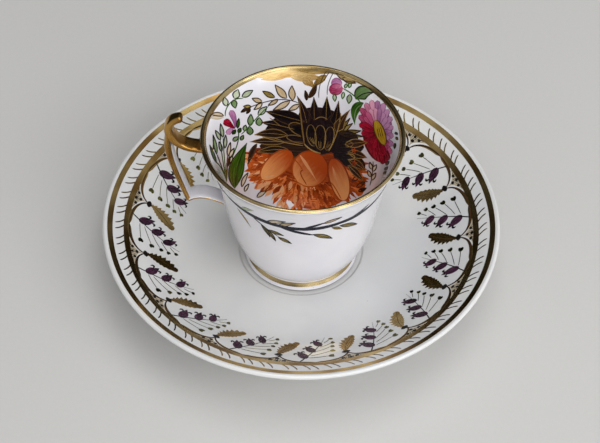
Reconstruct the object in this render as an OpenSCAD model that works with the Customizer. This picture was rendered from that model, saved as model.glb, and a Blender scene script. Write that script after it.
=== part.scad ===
// Teacup and saucer: a tall porcelain cup with a flared lip and a gilt strap handle, standing
// loose in the shallow well of a deep saucer. Millimetres, +Z up. The origin is the middle of
// the saucer's foot ring, on the table. The handle points along -X.

/* [Saucer] */
// Diameter over the lip
saucer_d = 140; // [134:1:146]
// Height of the lip's outermost edge above the table
saucer_edge_z = 23.6; // [22:0.1:25]
// Height of the well's floor above the table
saucer_floor_z = 6.6; // [6.2:0.1:7.4]
// Radius of the shallow well that the cup stands in
saucer_well_r = 22.4; // [21.8:0.1:23]
// Depth of the well below the floor round it
saucer_well_depth = 0.6; // [0.4:0.1:0.8]
// Radius of the flat part of the floor
saucer_floor_r = 28; // [26:0.5:30]
// Thickness of the floor
saucer_floor_t = 3.2; // [2.8:0.1:3.4]
// Thickness of the rounded lip
saucer_lip_t = 1.7; // [1.5:0.1:2]
// Slope of the wall at the lip, in degrees
saucer_lip_slope = 26; // [24:0.5:28]
// Outer radius of the foot ring where it stands
saucer_foot_r = 38; // [36:0.5:39]
// Width of the face that the foot ring stands on
saucer_foot_w = 2; // [1.6:0.1:2.4]

/* [Cup] */
// Diameter over the lip
cup_rim_d = 68.7; // [66:0.1:71]
// Height from the standing face to the top of the lip
cup_h = 58.3; // [56:0.1:60]
// Radius of the foot where it stands
cup_foot_r = 20.2; // [19.6:0.1:20.8]
// Radius of the neck between the foot and the body
cup_neck_r = 18.9; // [18.5:0.1:19.2]
// Height of the neck above the standing face
cup_neck_z = 3.8; // [3.4:0.1:4.2]
// Radius of the body at the top of its rounded bottom
cup_waist_r = 26; // [25.5:0.1:26.5]
// Height of the top of the rounded bottom
cup_waist_z = 22.6; // [21:0.1:24]
// Thickness of the lip
cup_lip_t = 1.6; // [1.4:0.1:1.8]
// Thickness of the body's wall at the waist
cup_wall_t = 2.4; // [2:0.1:2.6]
// Height of the inside floor above the standing face
cup_floor_z = 5.8; // [5.4:0.1:6.4]
// Inner radius of the foot ring where it stands
cup_foot_in_r = 17.2; // [16.6:0.1:17.6]
// Depth of the hollow under the foot
cup_foot_hollow = 2.6; // [2.2:0.1:3]

/* [Handle] */
// Width of the strap, across the handle
handle_w = 5.7; // [5:0.1:6.4]
// Thickness of the strap where it leaves the body
strap_t = 1.5; // [1.3:0.1:1.8]
// Thickness of the thumb horn at its root
horn_t = 3.2; // [2.8:0.1:3.4]
// Thickness of the thumb horn at its tip
horn_tip_t = 2.2; // [2:0.1:2.6]
// Width of the thumb horn at its tip
horn_tip_w = 3.2; // [2.8:0.1:3.8]
// Thickness of the spine at its top
spine_t = 3; // [2.7:0.1:3.2]
// Thickness of the bracket below
bracket_t = 1.3; // [1.1:0.1:1.5]

/* [Gilding] */
// Depth to which a gilt layer is sunk in the porcelain
gilt_sink = 0.2; // [0.15:0.01:0.25]
// Height by which a gilt layer stands proud
gilt_proud = 0.06; // [0.04:0.01:0.1]
// Inner and outer radius of the saucer's rim band
rim_band = [66.5, 68.1];
// Inner and outer radius of the saucer's vine
vine_band = [61, 62.6];
// Depth of the gilt lip below its top, down the outside of the cup
lip_band_out = 1.6; // [1.5:0.1:2]
// Depth of the gilt lip below its top, down the inside of the cup
lip_band_in = 0.7; // [0.6:0.1:1.2]
// Lower and upper height of the gilt band on the cup's foot
foot_band = [1.6, 3.1];

/* [Hidden] */
$fn = 96;
porcelain = [0.93, 0.93, 0.95];
gold = [0.62, 0.46, 0.17];

// Gap that keeps the loose cup clear of the well's floor
seat_gap = 0.05;
cup_z = saucer_floor_z + seat_gap;

// Points on a curve with two end points and two pull points
function curve(p, steps) = [
    for (i = [0 : steps])
        let (t = i / steps, s = 1 - t)
            s*s*s*p[0] + 3*s*s*t*p[1] + 3*s*t*t*p[2] + t*t*t*p[3]
];
function reversed(list) = [for (i = [len(list) - 1 : -1 : 0]) list[i]];
function tail(list) = [for (i = [1 : len(list) - 1]) list[i]];
function unit(v) = v / norm(v);
// Left-hand normal of a run of points at point i
function normal_at(pts, i) =
    let (a = pts[max(i - 1, 0)], b = pts[min(i + 1, len(pts) - 1)], d = unit(b - a))
        [-d[1], d[0]];
// The run of points moved to its left by a distance that goes evenly from d0 to d1
function shifted(pts, d0, d1) = [
    for (i = [0 : len(pts) - 1])
        pts[i] + normal_at(pts, i) * (d0 + (d1 - d0) * i / (len(pts) - 1))
];
// Outline of a band that follows a run of points, from d_right to d_left of it
function ribbon(pts, d_right, d_left) =
    concat(shifted(pts, -d_right, -d_right), reversed(shifted(pts, d_left, d_left)));
// Outline of a strap with half widths that go evenly from h0 to h1
function strap(pts, h0, h1) = concat(shifted(pts, -h0, -h1), reversed(shifted(pts, h0, h1)));
// Arc about a centre, from one angle to another
function arc(c, r, a0, a1, steps) = [
    for (i = [0 : steps])
        let (a = a0 + (a1 - a0) * i / steps) c + r * [cos(a), sin(a)]
];
// Part of a run of points whose coordinate k lies between two limits
function between(pts, k, low, high) = [for (p = pts) if (p[k] >= low && p[k] <= high) p];
// Place where a run of points reaches a value of coordinate k
function crossing(pts, k, value) = [
    for (i = [1 : len(pts) - 1])
        let (a = pts[i - 1], b = pts[i])
            if ((a[k] - value) * (b[k] - value) <= 0 && a[k] != b[k])
                a + (b - a) * (value - a[k]) / (b[k] - a[k])
][0];
// The run of points cut off at two values of coordinate k, rising
function clipped(pts, k, low, high) =
    concat([crossing(pts, k, low)], between(pts, k, low + 0.01, high - 0.01),
           [crossing(pts, k, high)]);

// Saucer: the well, the upper face from the floor to the lip, the round lip, and the face below
saucer_well_slope = 0.4;
saucer_well = [
    [0, saucer_floor_z],
    [saucer_well_r - saucer_well_slope, saucer_floor_z],
    [saucer_well_r, saucer_floor_z + saucer_well_depth]
];
saucer_lip_c = [saucer_d / 2 - saucer_lip_t / 2, saucer_edge_z];
saucer_lip_end = saucer_lip_c + saucer_lip_t / 2 * [-sin(saucer_lip_slope), cos(saucer_lip_slope)];
saucer_floor_pull = 19;
saucer_wall_pull = 21;
saucer_top = curve([
    [saucer_floor_r, saucer_floor_z + saucer_well_depth],
    [saucer_floor_r + saucer_floor_pull, saucer_floor_z + saucer_well_depth],
    saucer_lip_end - saucer_wall_pull * [cos(saucer_lip_slope), sin(saucer_lip_slope)],
    saucer_lip_end
], 28);
saucer_lip = arc(saucer_lip_c, saucer_lip_t / 2, 90 + saucer_lip_slope,
                 saucer_lip_slope - 90, 10);
saucer_under = shifted(saucer_top, -saucer_floor_t, -saucer_lip_t);
saucer_outline = concat(
    saucer_well, saucer_top, tail(saucer_lip), tail(reversed(saucer_under)),
    [[0, saucer_floor_z - saucer_floor_t]]
);
// Foot ring of the saucer: it widens a little towards the floor that it carries
saucer_foot_top = saucer_floor_z - saucer_floor_t / 2;
saucer_foot_splay = 1.2;
saucer_foot_outline = [
    [saucer_foot_r - saucer_foot_w, 0],
    [saucer_foot_r, 0],
    [saucer_foot_r + saucer_foot_splay / 2, 0.7],
    [saucer_foot_r + saucer_foot_splay, saucer_foot_top],
    [saucer_foot_r - saucer_foot_w - saucer_foot_splay, saucer_foot_top],
    [saucer_foot_r - saucer_foot_w - saucer_foot_splay / 2, 0.7]
];

// Cup: outer face from the standing face up to the lip, in its own heights
cup_lip_slope = 50;
cup_lip_c = [cup_rim_d / 2 - cup_lip_t / 2, cup_h - cup_lip_t / 2];
cup_lip_out = cup_lip_c + cup_lip_t / 2 * [sin(cup_lip_slope), -cos(cup_lip_slope)];
cup_foot = curve([
    [cup_foot_r + 0.2, 0.6],
    [cup_foot_r - 0.5, 1.6],
    [cup_neck_r, cup_neck_z - 1.3],
    [cup_neck_r, cup_neck_z]
], 8);
cup_bottom = curve([
    [cup_neck_r, cup_neck_z],
    [cup_neck_r + 2.7, cup_neck_z + 2.4],
    [cup_waist_r - 1.8, cup_waist_z - 10.6],
    [cup_waist_r, cup_waist_z]
], 16);
cup_side = curve([
    [cup_waist_r, cup_waist_z],
    [cup_waist_r + 2.3, cup_waist_z + 14.2],
    cup_lip_out - [4.3, 7.4],
    cup_lip_out
], 24);
cup_lip = arc(cup_lip_c, cup_lip_t / 2, cup_lip_slope - 90, 90 + cup_lip_slope, 12);
// Inner face: it follows the side down to the waist and rounds into the floor
cup_side_in = shifted(cup_side, cup_wall_t, cup_lip_t);
cup_bowl_in = curve([
    cup_side_in[0],
    cup_side_in[0] - [1.9, 10],
    [cup_neck_r + 1.4, cup_floor_z],
    [cup_neck_r - 7, cup_floor_z]
], 16);
cup_outside = concat([[cup_foot_r, 0]], cup_foot, tail(cup_bottom), tail(cup_side));
cup_inside = concat(tail(reversed(cup_side_in)), tail(cup_bowl_in), [[0, cup_floor_z]]);
cup_hollow = [
    [0, cup_foot_hollow],
    [cup_foot_in_r - 1.2, cup_foot_hollow],
    [cup_foot_in_r - 0.5, 0.6],
    [cup_foot_in_r, 0]
];
cup_outline = concat(cup_outside, tail(cup_lip), cup_inside, cup_hollow);
// The whole cup with nothing hollow, which the handle is cut to
cup_filled_outline = concat([[0, 0]], cup_outside, tail(cup_lip), [[0, cup_h]]);

// Handle: middle lines in the handle's own plane, as reach from the cup's axis and height
strap_line = curve([[28.5, 51.8], [34, 52.1], [40.5, 51.8], [43, 57.2]], 14);
horn_line = curve([[43, 57.2], [45.2, 60.8], [43.6, 64.4], [40.4, 65.5]], 12);
spine_line = curve([[44.9, 59.5], [45.3, 50.5], [43.7, 44], [39.4, 27.7]], 16);
bracket_line = curve([[39.4, 27.7], [36, 30.2], [32, 30], [26, 25.6]], 12);
horn_tip = horn_line[len(horn_line) - 1];
horn_root = horn_line[0];
// The spine thins towards the bracket
spine_end_t = spine_t * 0.65;

// Stretches of the faces that carry gold
rim_gilt_line = clipped(saucer_top, 0, rim_band[0], rim_band[1]);
vine_line = clipped(saucer_top, 0, vine_band[0], vine_band[1]);
foot_gilt_line = clipped(cup_foot, 1, foot_band[0], foot_band[1]);
lip_out_line = clipped(cup_side, 1, cup_h - lip_band_out, cup_lip_out[1]);
lip_in_line = clipped(cup_side_in, 1, cup_h - lip_band_in,
                      cup_side_in[len(cup_side_in) - 1][1]);
lip_gilt_line = concat(lip_out_line, tail(cup_lip), tail(reversed(lip_in_line)));

// A solid of revolution about the common axis
module turned(outline, z = 0) {
    translate([0, 0, z])
        rotate_extrude($fn = 180)
            polygon(outline);
}

// A plate cut along an outline in the handle's plane
module handle_plate(outline, width) {
    translate([0, 0, cup_z])
        mirror([1, 0, 0])
            rotate([90, 0, 0])
                linear_extrude(width, center = true)
                    polygon(outline);
}

// The thumb horn narrows towards its tip
module horn_taper(width_in) {
    half = handle_w / 2 - width_in;
    tip_half = horn_tip_w / 2 - width_in;
    translate([-cup_rim_d, 0, cup_z])
        rotate([90, 0, 90])
            linear_extrude(cup_rim_d)
                polygon([
                    [-half, horn_root[1] - strap_t * 2],
                    [half, horn_root[1] - strap_t * 2],
                    [half, horn_root[1]],
                    [tip_half, horn_tip[1] + horn_t],
                    [-tip_half, horn_tip[1] + horn_t],
                    [-half, horn_root[1]]
                ]);
}

// Strap, horn and spine, thinned by inset where they lie under the gold. The spine's inner
// face stays bare, so there the core reaches past it.
module gilded_limbs(inset, bare) {
    width = handle_w - 2 * inset;
    handle_plate(strap(strap_line, strap_t / 2 - inset, horn_t / 2 - inset), width);
    intersection() {
        union() {
            handle_plate(strap(horn_line, horn_t / 2 - inset, horn_tip_t / 2 - inset), width);
            handle_plate(arc(horn_tip, horn_tip_t / 2 - inset, 0, 345, 23), width);
        }
        horn_taper(inset);
    }
    handle_plate(concat(shifted(spine_line, spine_t / 2 - inset, spine_end_t / 2 - inset),
                        reversed(shifted(spine_line, -spine_t / 2 - bare,
                                         -spine_end_t / 2 - bare))), width);
}

// The handle with its gold, cut to the cup's outer face
module handle_whole() {
    difference() {
        union() {
            gilded_limbs(0, 0);
            handle_plate(strap(bracket_line, bracket_t / 2, bracket_t / 2), handle_w);
        }
        turned(cup_filled_outline, cup_z);
    }
}

module rim_gilt_ring() {
    turned(ribbon(rim_gilt_line, gilt_sink, gilt_proud));
}

module vine_ring() {
    turned(ribbon(vine_line, gilt_sink, gilt_proud));
}

module lip_gilt_ring() {
    turned(ribbon(lip_gilt_line, gilt_proud, gilt_sink), cup_z);
}

module foot_gilt_ring() {
    turned(ribbon(foot_gilt_line, gilt_proud, gilt_sink), cup_z);
}

module saucer() {
    color(porcelain)
        difference() {
            union() {
                turned(saucer_outline);
                turned(saucer_foot_outline);
            }
            rim_gilt_ring();
            vine_ring();
        }
}

module saucer_rim_gilding() {
    color(gold)
        rim_gilt_ring();
}

module saucer_vine_gilding() {
    color(gold)
        vine_ring();
}

module cup_body() {
    color(porcelain)
        difference() {
            turned(cup_outline, cup_z);
            lip_gilt_ring();
            foot_gilt_ring();
        }
}

module cup_rim_gilding() {
    color(gold)
        lip_gilt_ring();
}

module cup_foot_gilding() {
    color(gold)
        foot_gilt_ring();
}

module cup_handle() {
    color(porcelain)
        difference() {
            handle_whole();
            handle_gilding();
        }
}

module handle_gilding() {
    color(gold)
        difference() {
            gilded_limbs(0, 0);
            gilded_limbs(gilt_sink, 1);
            turned(cup_filled_outline, cup_z);
        }
}

saucer();
saucer_rim_gilding();
saucer_vine_gilding();
cup_body();
cup_rim_gilding();
cup_foot_gilding();
cup_handle();
handle_gilding();
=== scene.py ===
"""A gilt and painted porcelain teacup and saucer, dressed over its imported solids.

Sizes are in millimetres and meshes are made in metres. Heights on the cup are above its own
foot. The handle points along -X, and the camera stands on the -Y side.
"""

import logging
import math
import random
from abc import ABC, abstractmethod
from collections.abc import Sequence
from dataclasses import dataclass, field
from enum import Enum

import bpy
from mathutils import Matrix, Vector
from mathutils.bvhtree import BVHTree


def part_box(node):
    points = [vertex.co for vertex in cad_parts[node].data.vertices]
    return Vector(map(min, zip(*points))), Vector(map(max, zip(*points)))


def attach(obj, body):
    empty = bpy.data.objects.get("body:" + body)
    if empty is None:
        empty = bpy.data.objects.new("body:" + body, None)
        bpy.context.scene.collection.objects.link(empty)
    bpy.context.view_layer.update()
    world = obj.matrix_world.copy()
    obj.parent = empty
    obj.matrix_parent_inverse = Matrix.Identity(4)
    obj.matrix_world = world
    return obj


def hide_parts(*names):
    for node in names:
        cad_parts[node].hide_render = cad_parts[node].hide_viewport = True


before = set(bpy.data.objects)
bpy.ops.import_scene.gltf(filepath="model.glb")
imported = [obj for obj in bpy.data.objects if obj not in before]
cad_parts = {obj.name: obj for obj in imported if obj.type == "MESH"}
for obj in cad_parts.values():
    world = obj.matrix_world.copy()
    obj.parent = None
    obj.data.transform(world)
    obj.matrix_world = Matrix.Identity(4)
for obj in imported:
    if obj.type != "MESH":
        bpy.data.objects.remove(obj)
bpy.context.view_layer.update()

LOG = logging.getLogger("teacup_and_saucer")
MM = 0.001
SMOOTH_ANGLE = math.radians(38)
WELD = 0.002 * MM
LIP_STEPS = 14

Point = tuple[float, float]
Line = list[Point]
Colour = tuple[float, float, float, float]
Piece = bpy.types.Object


def tint(code: str) -> Colour:
    """Turns a display colour, such as "c9a44c", into the linear colour that shaders take."""
    parts = [int(code[i:i + 2], 16) / 255 for i in (0, 2, 4)]
    return (*(c / 12.92 if c <= 0.04045 else ((c + 0.055) / 1.055) ** 2.4 for c in parts), 1.0)


# Lines in a plane

def between(a: Point, b: Point, t: float) -> Point:
    """The point at a share of the way from one point to another."""
    return (a[0] + (b[0] - a[0]) * t, a[1] + (b[1] - a[1]) * t)


def aside(point: Point, normal: Vector, away: float) -> Point:
    """A point moved along a normal."""
    return (point[0] + normal.x * away, point[1] + normal.y * away)


def curve(points: Sequence[Point], steps: int) -> Line:
    """Cuts a curve with pull points into short straight pieces.

    Args:
        points: The two end points, with any pull points between them.
        steps: How many pieces the curve is cut into.

    Returns:
        The points from one end to the other.
    """
    line = []
    for i in range(steps + 1):
        run = list(points)
        while len(run) > 1:
            run = [between(a, b, i / steps) for a, b in zip(run, run[1:])]
        line.append(run[0])
    return line


def pulled(start: Point, end: Point, pulls: tuple[Point, Point], steps: int) -> Line:
    """A curve between two points, with one pull point at a distance from each."""
    near, far = ((x + pull_x, y + pull_y) for (x, y), (pull_x, pull_y) in zip((start, end), pulls))
    return curve([start, near, far, end], steps)


def arc(centre: Point, radius: float, start: float, end: float, steps: int) -> Line:
    """Points on an arc about a centre, from one angle in degrees to another."""
    angles = [math.radians(start + (end - start) * i / steps) for i in range(steps + 1)]
    return [(centre[0] + radius * math.cos(a), centre[1] + radius * math.sin(a)) for a in angles]


def left_normals(line: Sequence[Point]) -> list[Vector]:
    """Finds which way is left along a line.

    Args:
        line: The line.

    Returns:
        The unit vector to the left, at each point.
    """
    normals = []
    last = len(line) - 1
    for i in range(len(line)):
        ahead = Vector(line[min(i + 1, last)]) - Vector(line[max(i - 1, 0)])
        ahead = ahead.normalized() if ahead.length > 0 else Vector((1.0, 0.0))
        normals.append(Vector((-ahead.y, ahead.x)))
    return normals


def shifted(line: Sequence[Point], start: float, end: float) -> Line:
    """Moves a line to its left, by a distance that runs from one at its start to another at its end."""
    last = len(line) - 1
    return [aside(point, side, start + (end - start) * i / last)
            for i, (point, side) in enumerate(zip(line, left_normals(line)))]


def crossing(line: Sequence[Point], axis: int, value: float) -> Point:
    """Finds where a line that rises along one axis reaches a value of it.

    Args:
        line: The line.
        axis: The axis, 0 or 1.
        value: The value.

    Returns:
        The point there, or else the nearer end.
    """
    for a, b in zip(line, line[1:]):
        if a[axis] <= value <= b[axis]:
            return between(a, b, (value - a[axis]) / ((b[axis] - a[axis]) or 1.0))
    return line[-1] if value > line[-1][axis] else line[0]


def clipped(line: Sequence[Point], axis: int, low: float, high: float) -> Line:
    """Cuts a line that rises along one axis at two values of that axis."""
    inner = [p for p in line if low < p[axis] < high]
    return [crossing(line, axis, low), *inner, crossing(line, axis, high)]


def ribbon(line: Sequence[Point], right: float, left: float) -> Line:
    """The closed outline of a band that lies on a line, from its right side to its left."""
    outline = shifted(line, -right, -right) + shifted(line, left, left)[::-1]
    return outline + outline[:1]


def value_on(line: Sequence[Point], axis: int, value: float) -> float:
    """The other coordinate of a line where it reaches a value on one axis."""
    return crossing(line, axis, value)[1 - axis]


def round_lip(centre: Point, thickness: float, slope: float) -> Line:
    """The round edge of a wall that rises at a slope in degrees, from its outside over to its inside."""
    return arc(centre, thickness / 2, slope - 90, slope + 90, LIP_STEPS)


# Node trees

class Socket:
    """A node's output, used in sums as a number is."""

    def __init__(self, graph: "Graph", link: bpy.types.NodeSocket) -> None:
        """Keeps the output and the graph that it belongs to."""
        self.graph = graph
        self.link = link

    def math(self, operation: str, first: object, second: object = 0.0) -> "Socket":
        """Adds one Math node and returns its result."""
        return self.graph.out("ShaderNodeMath", 0, {"operation": operation}, {0: first, 1: second})

    def __add__(self, other: object) -> "Socket":
        """self + other."""
        return self.math("ADD", self, other)

    def __radd__(self, other: object) -> "Socket":
        """other + self."""
        return self.math("ADD", other, self)

    def __sub__(self, other: object) -> "Socket":
        """self - other."""
        return self.math("SUBTRACT", self, other)

    def __rsub__(self, other: object) -> "Socket":
        """other - self."""
        return self.math("SUBTRACT", other, self)

    def __mul__(self, other: object) -> "Socket":
        """self * other."""
        return self.math("MULTIPLY", self, other)

    def __truediv__(self, other: object) -> "Socket":
        """self / other."""
        return self.math("DIVIDE", self, other)

    def __abs__(self) -> "Socket":
        """The size of a value, whatever its sign."""
        return self.math("ABSOLUTE", self)

    def cosine(self) -> "Socket":
        """The cosine of an angle."""
        return self.math("COSINE", self)

    def step(self, low: float, high: float) -> "Socket":
        """A smooth rise from 0 at low to 1 at high."""
        return self.graph.out("ShaderNodeMapRange", "Result", {"interpolation_type": "SMOOTHSTEP"},
                              {"Value": self, "From Min": low, "From Max": high})


class Graph:
    """A node tree that is written as Python calls."""

    def __init__(self, tree: bpy.types.NodeTree) -> None:
        """Keeps the tree that the nodes go into."""
        self.tree = tree

    def node(self, kind: str, settings: dict | None = None, sockets: dict | None = None) -> bpy.types.Node:
        """Adds a node.

        Args:
            kind: The node's type name.
            settings: Values of the node itself, which are set before its sockets.
            sockets: A value or a Socket for each input, by name or by number.

        Returns:
            The new node.
        """
        node = self.tree.nodes.new(kind)
        for name, value in (settings or {}).items():
            setattr(node, name, value)
        for name, value in (sockets or {}).items():
            if isinstance(value, Socket):
                self.tree.links.new(value.link, node.inputs[name])
            else:
                node.inputs[name].default_value = value
        return node

    def out(self, kind: str, output: str | int, settings: dict | None = None,
            sockets: dict | None = None) -> Socket:
        """Adds a node and returns one of its outputs."""
        return Socket(self, self.node(kind, settings, sockets).outputs[output])

    def xyz(self, vector: Socket) -> list[Socket]:
        """The three parts of a vector."""
        split = self.node("ShaderNodeSeparateXYZ", None, {"Vector": vector})
        return [Socket(self, split.outputs[axis]) for axis in "XYZ"]

    def mix(self, factor: object, first: object, second: object) -> Socket:
        """A colour between two colours."""
        return self.out("ShaderNodeMix", 2, {"data_type": "RGBA"}, {0: factor, 6: first, 7: second})


class Recipe(Graph):
    """A material's node tree."""

    def __init__(self, name: str) -> None:
        """Starts an empty material.

        Args:
            name: The material's name.
        """
        self.material = bpy.data.materials.new(name)
        self.material.use_nodes = True
        super().__init__(self.material.node_tree)
        self.tree.nodes.clear()

    def place(self) -> Socket:
        """The object's own coordinates, in metres."""
        return self.out("ShaderNodeTexCoord", "Object")

    def noise(self, vector: Socket, scale: float, detail: float) -> Socket:
        """Soft noise from 0 to 1."""
        return self.out("ShaderNodeTexNoise", "Fac", None,
                        {"Vector": vector, "Scale": scale, "Detail": detail})

    def bump(self, height: Socket, distance: float, strength: float) -> Socket:
        """A normal that follows a height from 0 to 1, where 1 is a distance in millimetres."""
        return self.out("ShaderNodeBump", "Normal", None,
                        {"Height": height, "Distance": distance * MM, "Strength": strength})

    def surface(self, sockets: dict) -> bpy.types.Material:
        """Ends the material in one Principled shader.

        Args:
            sockets: The shader's inputs, by name.

        Returns:
            The material.
        """
        shader = self.out("ShaderNodeBsdfPrincipled", "BSDF", None, sockets)
        self.node("ShaderNodeOutputMaterial", None, {"Surface": shader})
        return self.material


class Tree(Graph):
    """A Geometry Nodes tree with named inputs."""

    def __init__(self, name: str, inputs: dict[str, str]) -> None:
        """Starts a tree.

        Args:
            name: The tree's name.
            inputs: The kind of each input, by name.
        """
        super().__init__(bpy.data.node_groups.new(name, "GeometryNodeTree"))
        face = self.tree.interface
        for way in ("INPUT", "OUTPUT"):
            face.new_socket("Geometry", in_out=way, socket_type="NodeSocketGeometry")
        self.identifiers = {}
        for label, kind in inputs.items():
            socket = face.new_socket(label, in_out="INPUT", socket_type="NodeSocket" + kind)
            self.identifiers[label] = socket.identifier
        self.source = self.tree.nodes.new("NodeGroupInput")

    def given(self, name: str) -> Socket:
        """One of the tree's own inputs."""
        return Socket(self, self.source.outputs[name])

    def finish(self, geometry: Socket) -> None:
        """Ends the tree in realized geometry that has its material.

        Args:
            geometry: What the tree has made.
        """
        real = self.out("GeometryNodeRealizeInstances", "Geometry", None, {"Geometry": geometry})
        done = self.out("GeometryNodeSetMaterial", "Geometry", None,
                        {"Geometry": real, "Material": self.given("Material")})
        self.node("NodeGroupOutput", None, {"Geometry": done})

    def apply(self, piece: Piece, values: dict[str, object]) -> None:
        """Runs the tree on a piece and keeps the result as its plain mesh, with no modifier left.

        Args:
            piece: The object whose mesh goes into the tree.
            values: The value of each named input.
        """
        modifier = piece.modifiers.new(self.tree.name, "NODES")
        modifier.node_group = self.tree
        for label, value in values.items():
            modifier[self.identifiers[label]] = value
        evaluated = piece.evaluated_get(bpy.context.evaluated_depsgraph_get())
        mesh = bpy.data.meshes.new_from_object(evaluated)
        piece.modifiers.clear()
        piece.data = mesh
        mesh.name = piece.name


def turning_tree() -> Tree:
    """Writes a tree that turns a line of points, in the XZ plane, about the Z axis.

    Returns:
        The tree.
    """
    tree = Tree("Turned", {"Segments": "Int", "Material": "Material"})
    line = tree.given("Geometry")
    count = tree.out("GeometryNodeAttributeDomainSize", "Point Count", {"component": "MESH"},
                     {"Geometry": line})
    grid = tree.out("GeometryNodeMeshGrid", "Mesh", None, {
        "Size X": 1.0, "Size Y": 1.0, "Vertices X": tree.given("Segments") + 1.0, "Vertices Y": count})
    place = tree.out("GeometryNodeInputPosition", "Position")
    x, y, _ = tree.xyz(place)
    share, along = y + 0.5, x + 0.5
    row = share * (count - 1.0) + 0.5
    point = tree.out("GeometryNodeSampleIndex", "Value", {"data_type": "FLOAT_VECTOR", "domain": "POINT"},
                     {"Geometry": line, "Value": place, "Index": row})
    turned = tree.out("ShaderNodeVectorRotate", "Vector", {"rotation_type": "Z_AXIS"},
                      {"Vector": point, "Angle": along * math.tau})
    moved = tree.out("GeometryNodeSetPosition", "Geometry", None, {"Geometry": grid, "Position": turned})
    closed = tree.out("GeometryNodeMergeByDistance", "Geometry", None,
                      {"Geometry": moved, "Distance": WELD})
    tree.finish(closed)
    return tree


def ring_tree() -> Tree:
    """Writes a tree that repeats a motif round the Z axis, a little crowded at the front and out of step.

    Returns:
        The tree.
    """
    tree = Tree("Repeated round the axis", {
        "Count": "Int", "First angle": "Float", "Crowding": "Float", "Jitter": "Float", "Seed": "Int",
        "Material": "Material"})
    points = tree.out("GeometryNodePoints", "Geometry", None, {"Count": tree.given("Count")})
    index = tree.out("GeometryNodeInputIndex", "Index")
    jitter = tree.given("Jitter")
    stray = tree.out("FunctionNodeRandomValue", 1, {"data_type": "FLOAT"},
                     {2: 0.0 - jitter, 3: jitter, "Seed": tree.given("Seed")})
    even = index / tree.given("Count") * math.tau + tree.given("First angle")
    angle = even - tree.given("Crowding") * even.cosine() + stray
    turn = tree.out("FunctionNodeAxisAngleToRotation", "Rotation", None,
                    {"Axis": (0.0, 0.0, 1.0), "Angle": angle})
    copies = tree.out("GeometryNodeInstanceOnPoints", "Instances", None,
                      {"Points": points, "Instance": tree.given("Geometry"), "Rotation": turn})
    tree.finish(copies)
    return tree


# Finishes

@dataclass(frozen=True)
class Glaze:
    """A clear glaze on white porcelain: soft clouds, a few fired-in specks and a dark standing edge:
    bare porcelain, painted darker still to stand for the contact shadow under the foot.

    A scale is that of a pattern over the object's metres. A range is where a smooth step starts and ends.
    """

    name: str
    body: str
    cloud: str
    speck: str = "8a8378"
    # Bare standing edge, painted dark as the contact shadow where the foot meets the saucer.
    bare_and_shadow: str = "5e5850"
    bare_and_shadow_below: float = 0.0
    bare_and_shadow_blur: float = 0.1
    roughness: float = 0.16
    cloud_scale: float = 38.0
    cloud_range: Point = (0.38, 0.66)
    speck_scale: float = 210.0
    speck_range: Point = (0.03, 0.075)
    speck_choice: Point = (0.93, 0.95)
    speck_strength: float = 0.4
    ripple_scale: float = 120.0

    def material(self) -> bpy.types.Material:
        """Makes the material.

        Returns:
            The material, ready for use.
        """
        recipe = Recipe(self.name)
        place = recipe.place()
        cloud = recipe.noise(place, self.cloud_scale, 3.0).step(*self.cloud_range)
        cells = recipe.node("ShaderNodeTexVoronoi", None, {"Vector": place, "Scale": self.speck_scale})
        near = 1 - Socket(recipe, cells.outputs["Distance"]).step(*self.speck_range)
        chance = Socket(recipe, cells.outputs["Color"])
        chosen = recipe.out("ShaderNodeSeparateColor", 0, None, {"Color": chance})
        speck = near * chosen.step(*self.speck_choice)
        white = recipe.mix(cloud, tint(self.body), tint(self.cloud))
        colour = recipe.mix(speck * self.speck_strength, white, tint(self.speck))
        # Painted shadow: below a height the colour turns to the dark edge colour, for the bare foot edge and
        # the shade under it.
        if self.bare_and_shadow_below:
            _, _, up = recipe.xyz(place)
            above_bare_and_shadow = up.step((self.bare_and_shadow_below - self.bare_and_shadow_blur) * MM, (self.bare_and_shadow_below + self.bare_and_shadow_blur) * MM)
            colour = recipe.mix(1 - above_bare_and_shadow, colour, tint(self.bare_and_shadow))
        ripple = recipe.noise(place, self.ripple_scale, 1.0)
        return recipe.surface({
            "Base Color": colour,
            "Roughness": self.roughness + cloud * 0.05 + speck * 0.2,
            "Normal": recipe.bump(ripple, 0.05, 0.25),
            "Coat Weight": 0.6,
            "Coat Roughness": 0.05,
            "IOR": 1.5,
        })


@dataclass(frozen=True)
class Gilding:
    """Fired gold, burnished unevenly and thin in places, with a clear sheen."""

    name: str
    bright: str
    deep: str
    worn: str = "e2d6b8"
    roughness: float = 0.19
    patch_scale: float = 70.0
    patch_range: Point = (0.3, 0.7)
    brush_scale: float = 260.0
    thin_scale: float = 300.0
    thin_range: Point = (0.7, 0.86)
    thin_strength: float = 0.15

    def material(self) -> bpy.types.Material:
        """Makes the material.

        Returns:
            The material, ready for use.
        """
        recipe = Recipe(self.name)
        place = recipe.place()
        patch = recipe.noise(place, self.patch_scale, 2.0).step(*self.patch_range)
        brushed = recipe.noise(place, self.brush_scale, 1.0)
        thin = recipe.noise(place, self.thin_scale, 2.0).step(*self.thin_range)
        wear = thin * self.thin_strength
        gold = recipe.mix(patch, tint(self.deep), tint(self.bright))
        return recipe.surface({
            "Base Color": recipe.mix(wear, gold, tint(self.worn)),
            "Metallic": 1 - wear,
            "Roughness": self.roughness + brushed * 0.08 + thin * 0.1,
            "Normal": recipe.bump(brushed, 0.02, 0.1),
            "Coat Weight": 0.1,
            "Coat Roughness": 0.12,
        })


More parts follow.
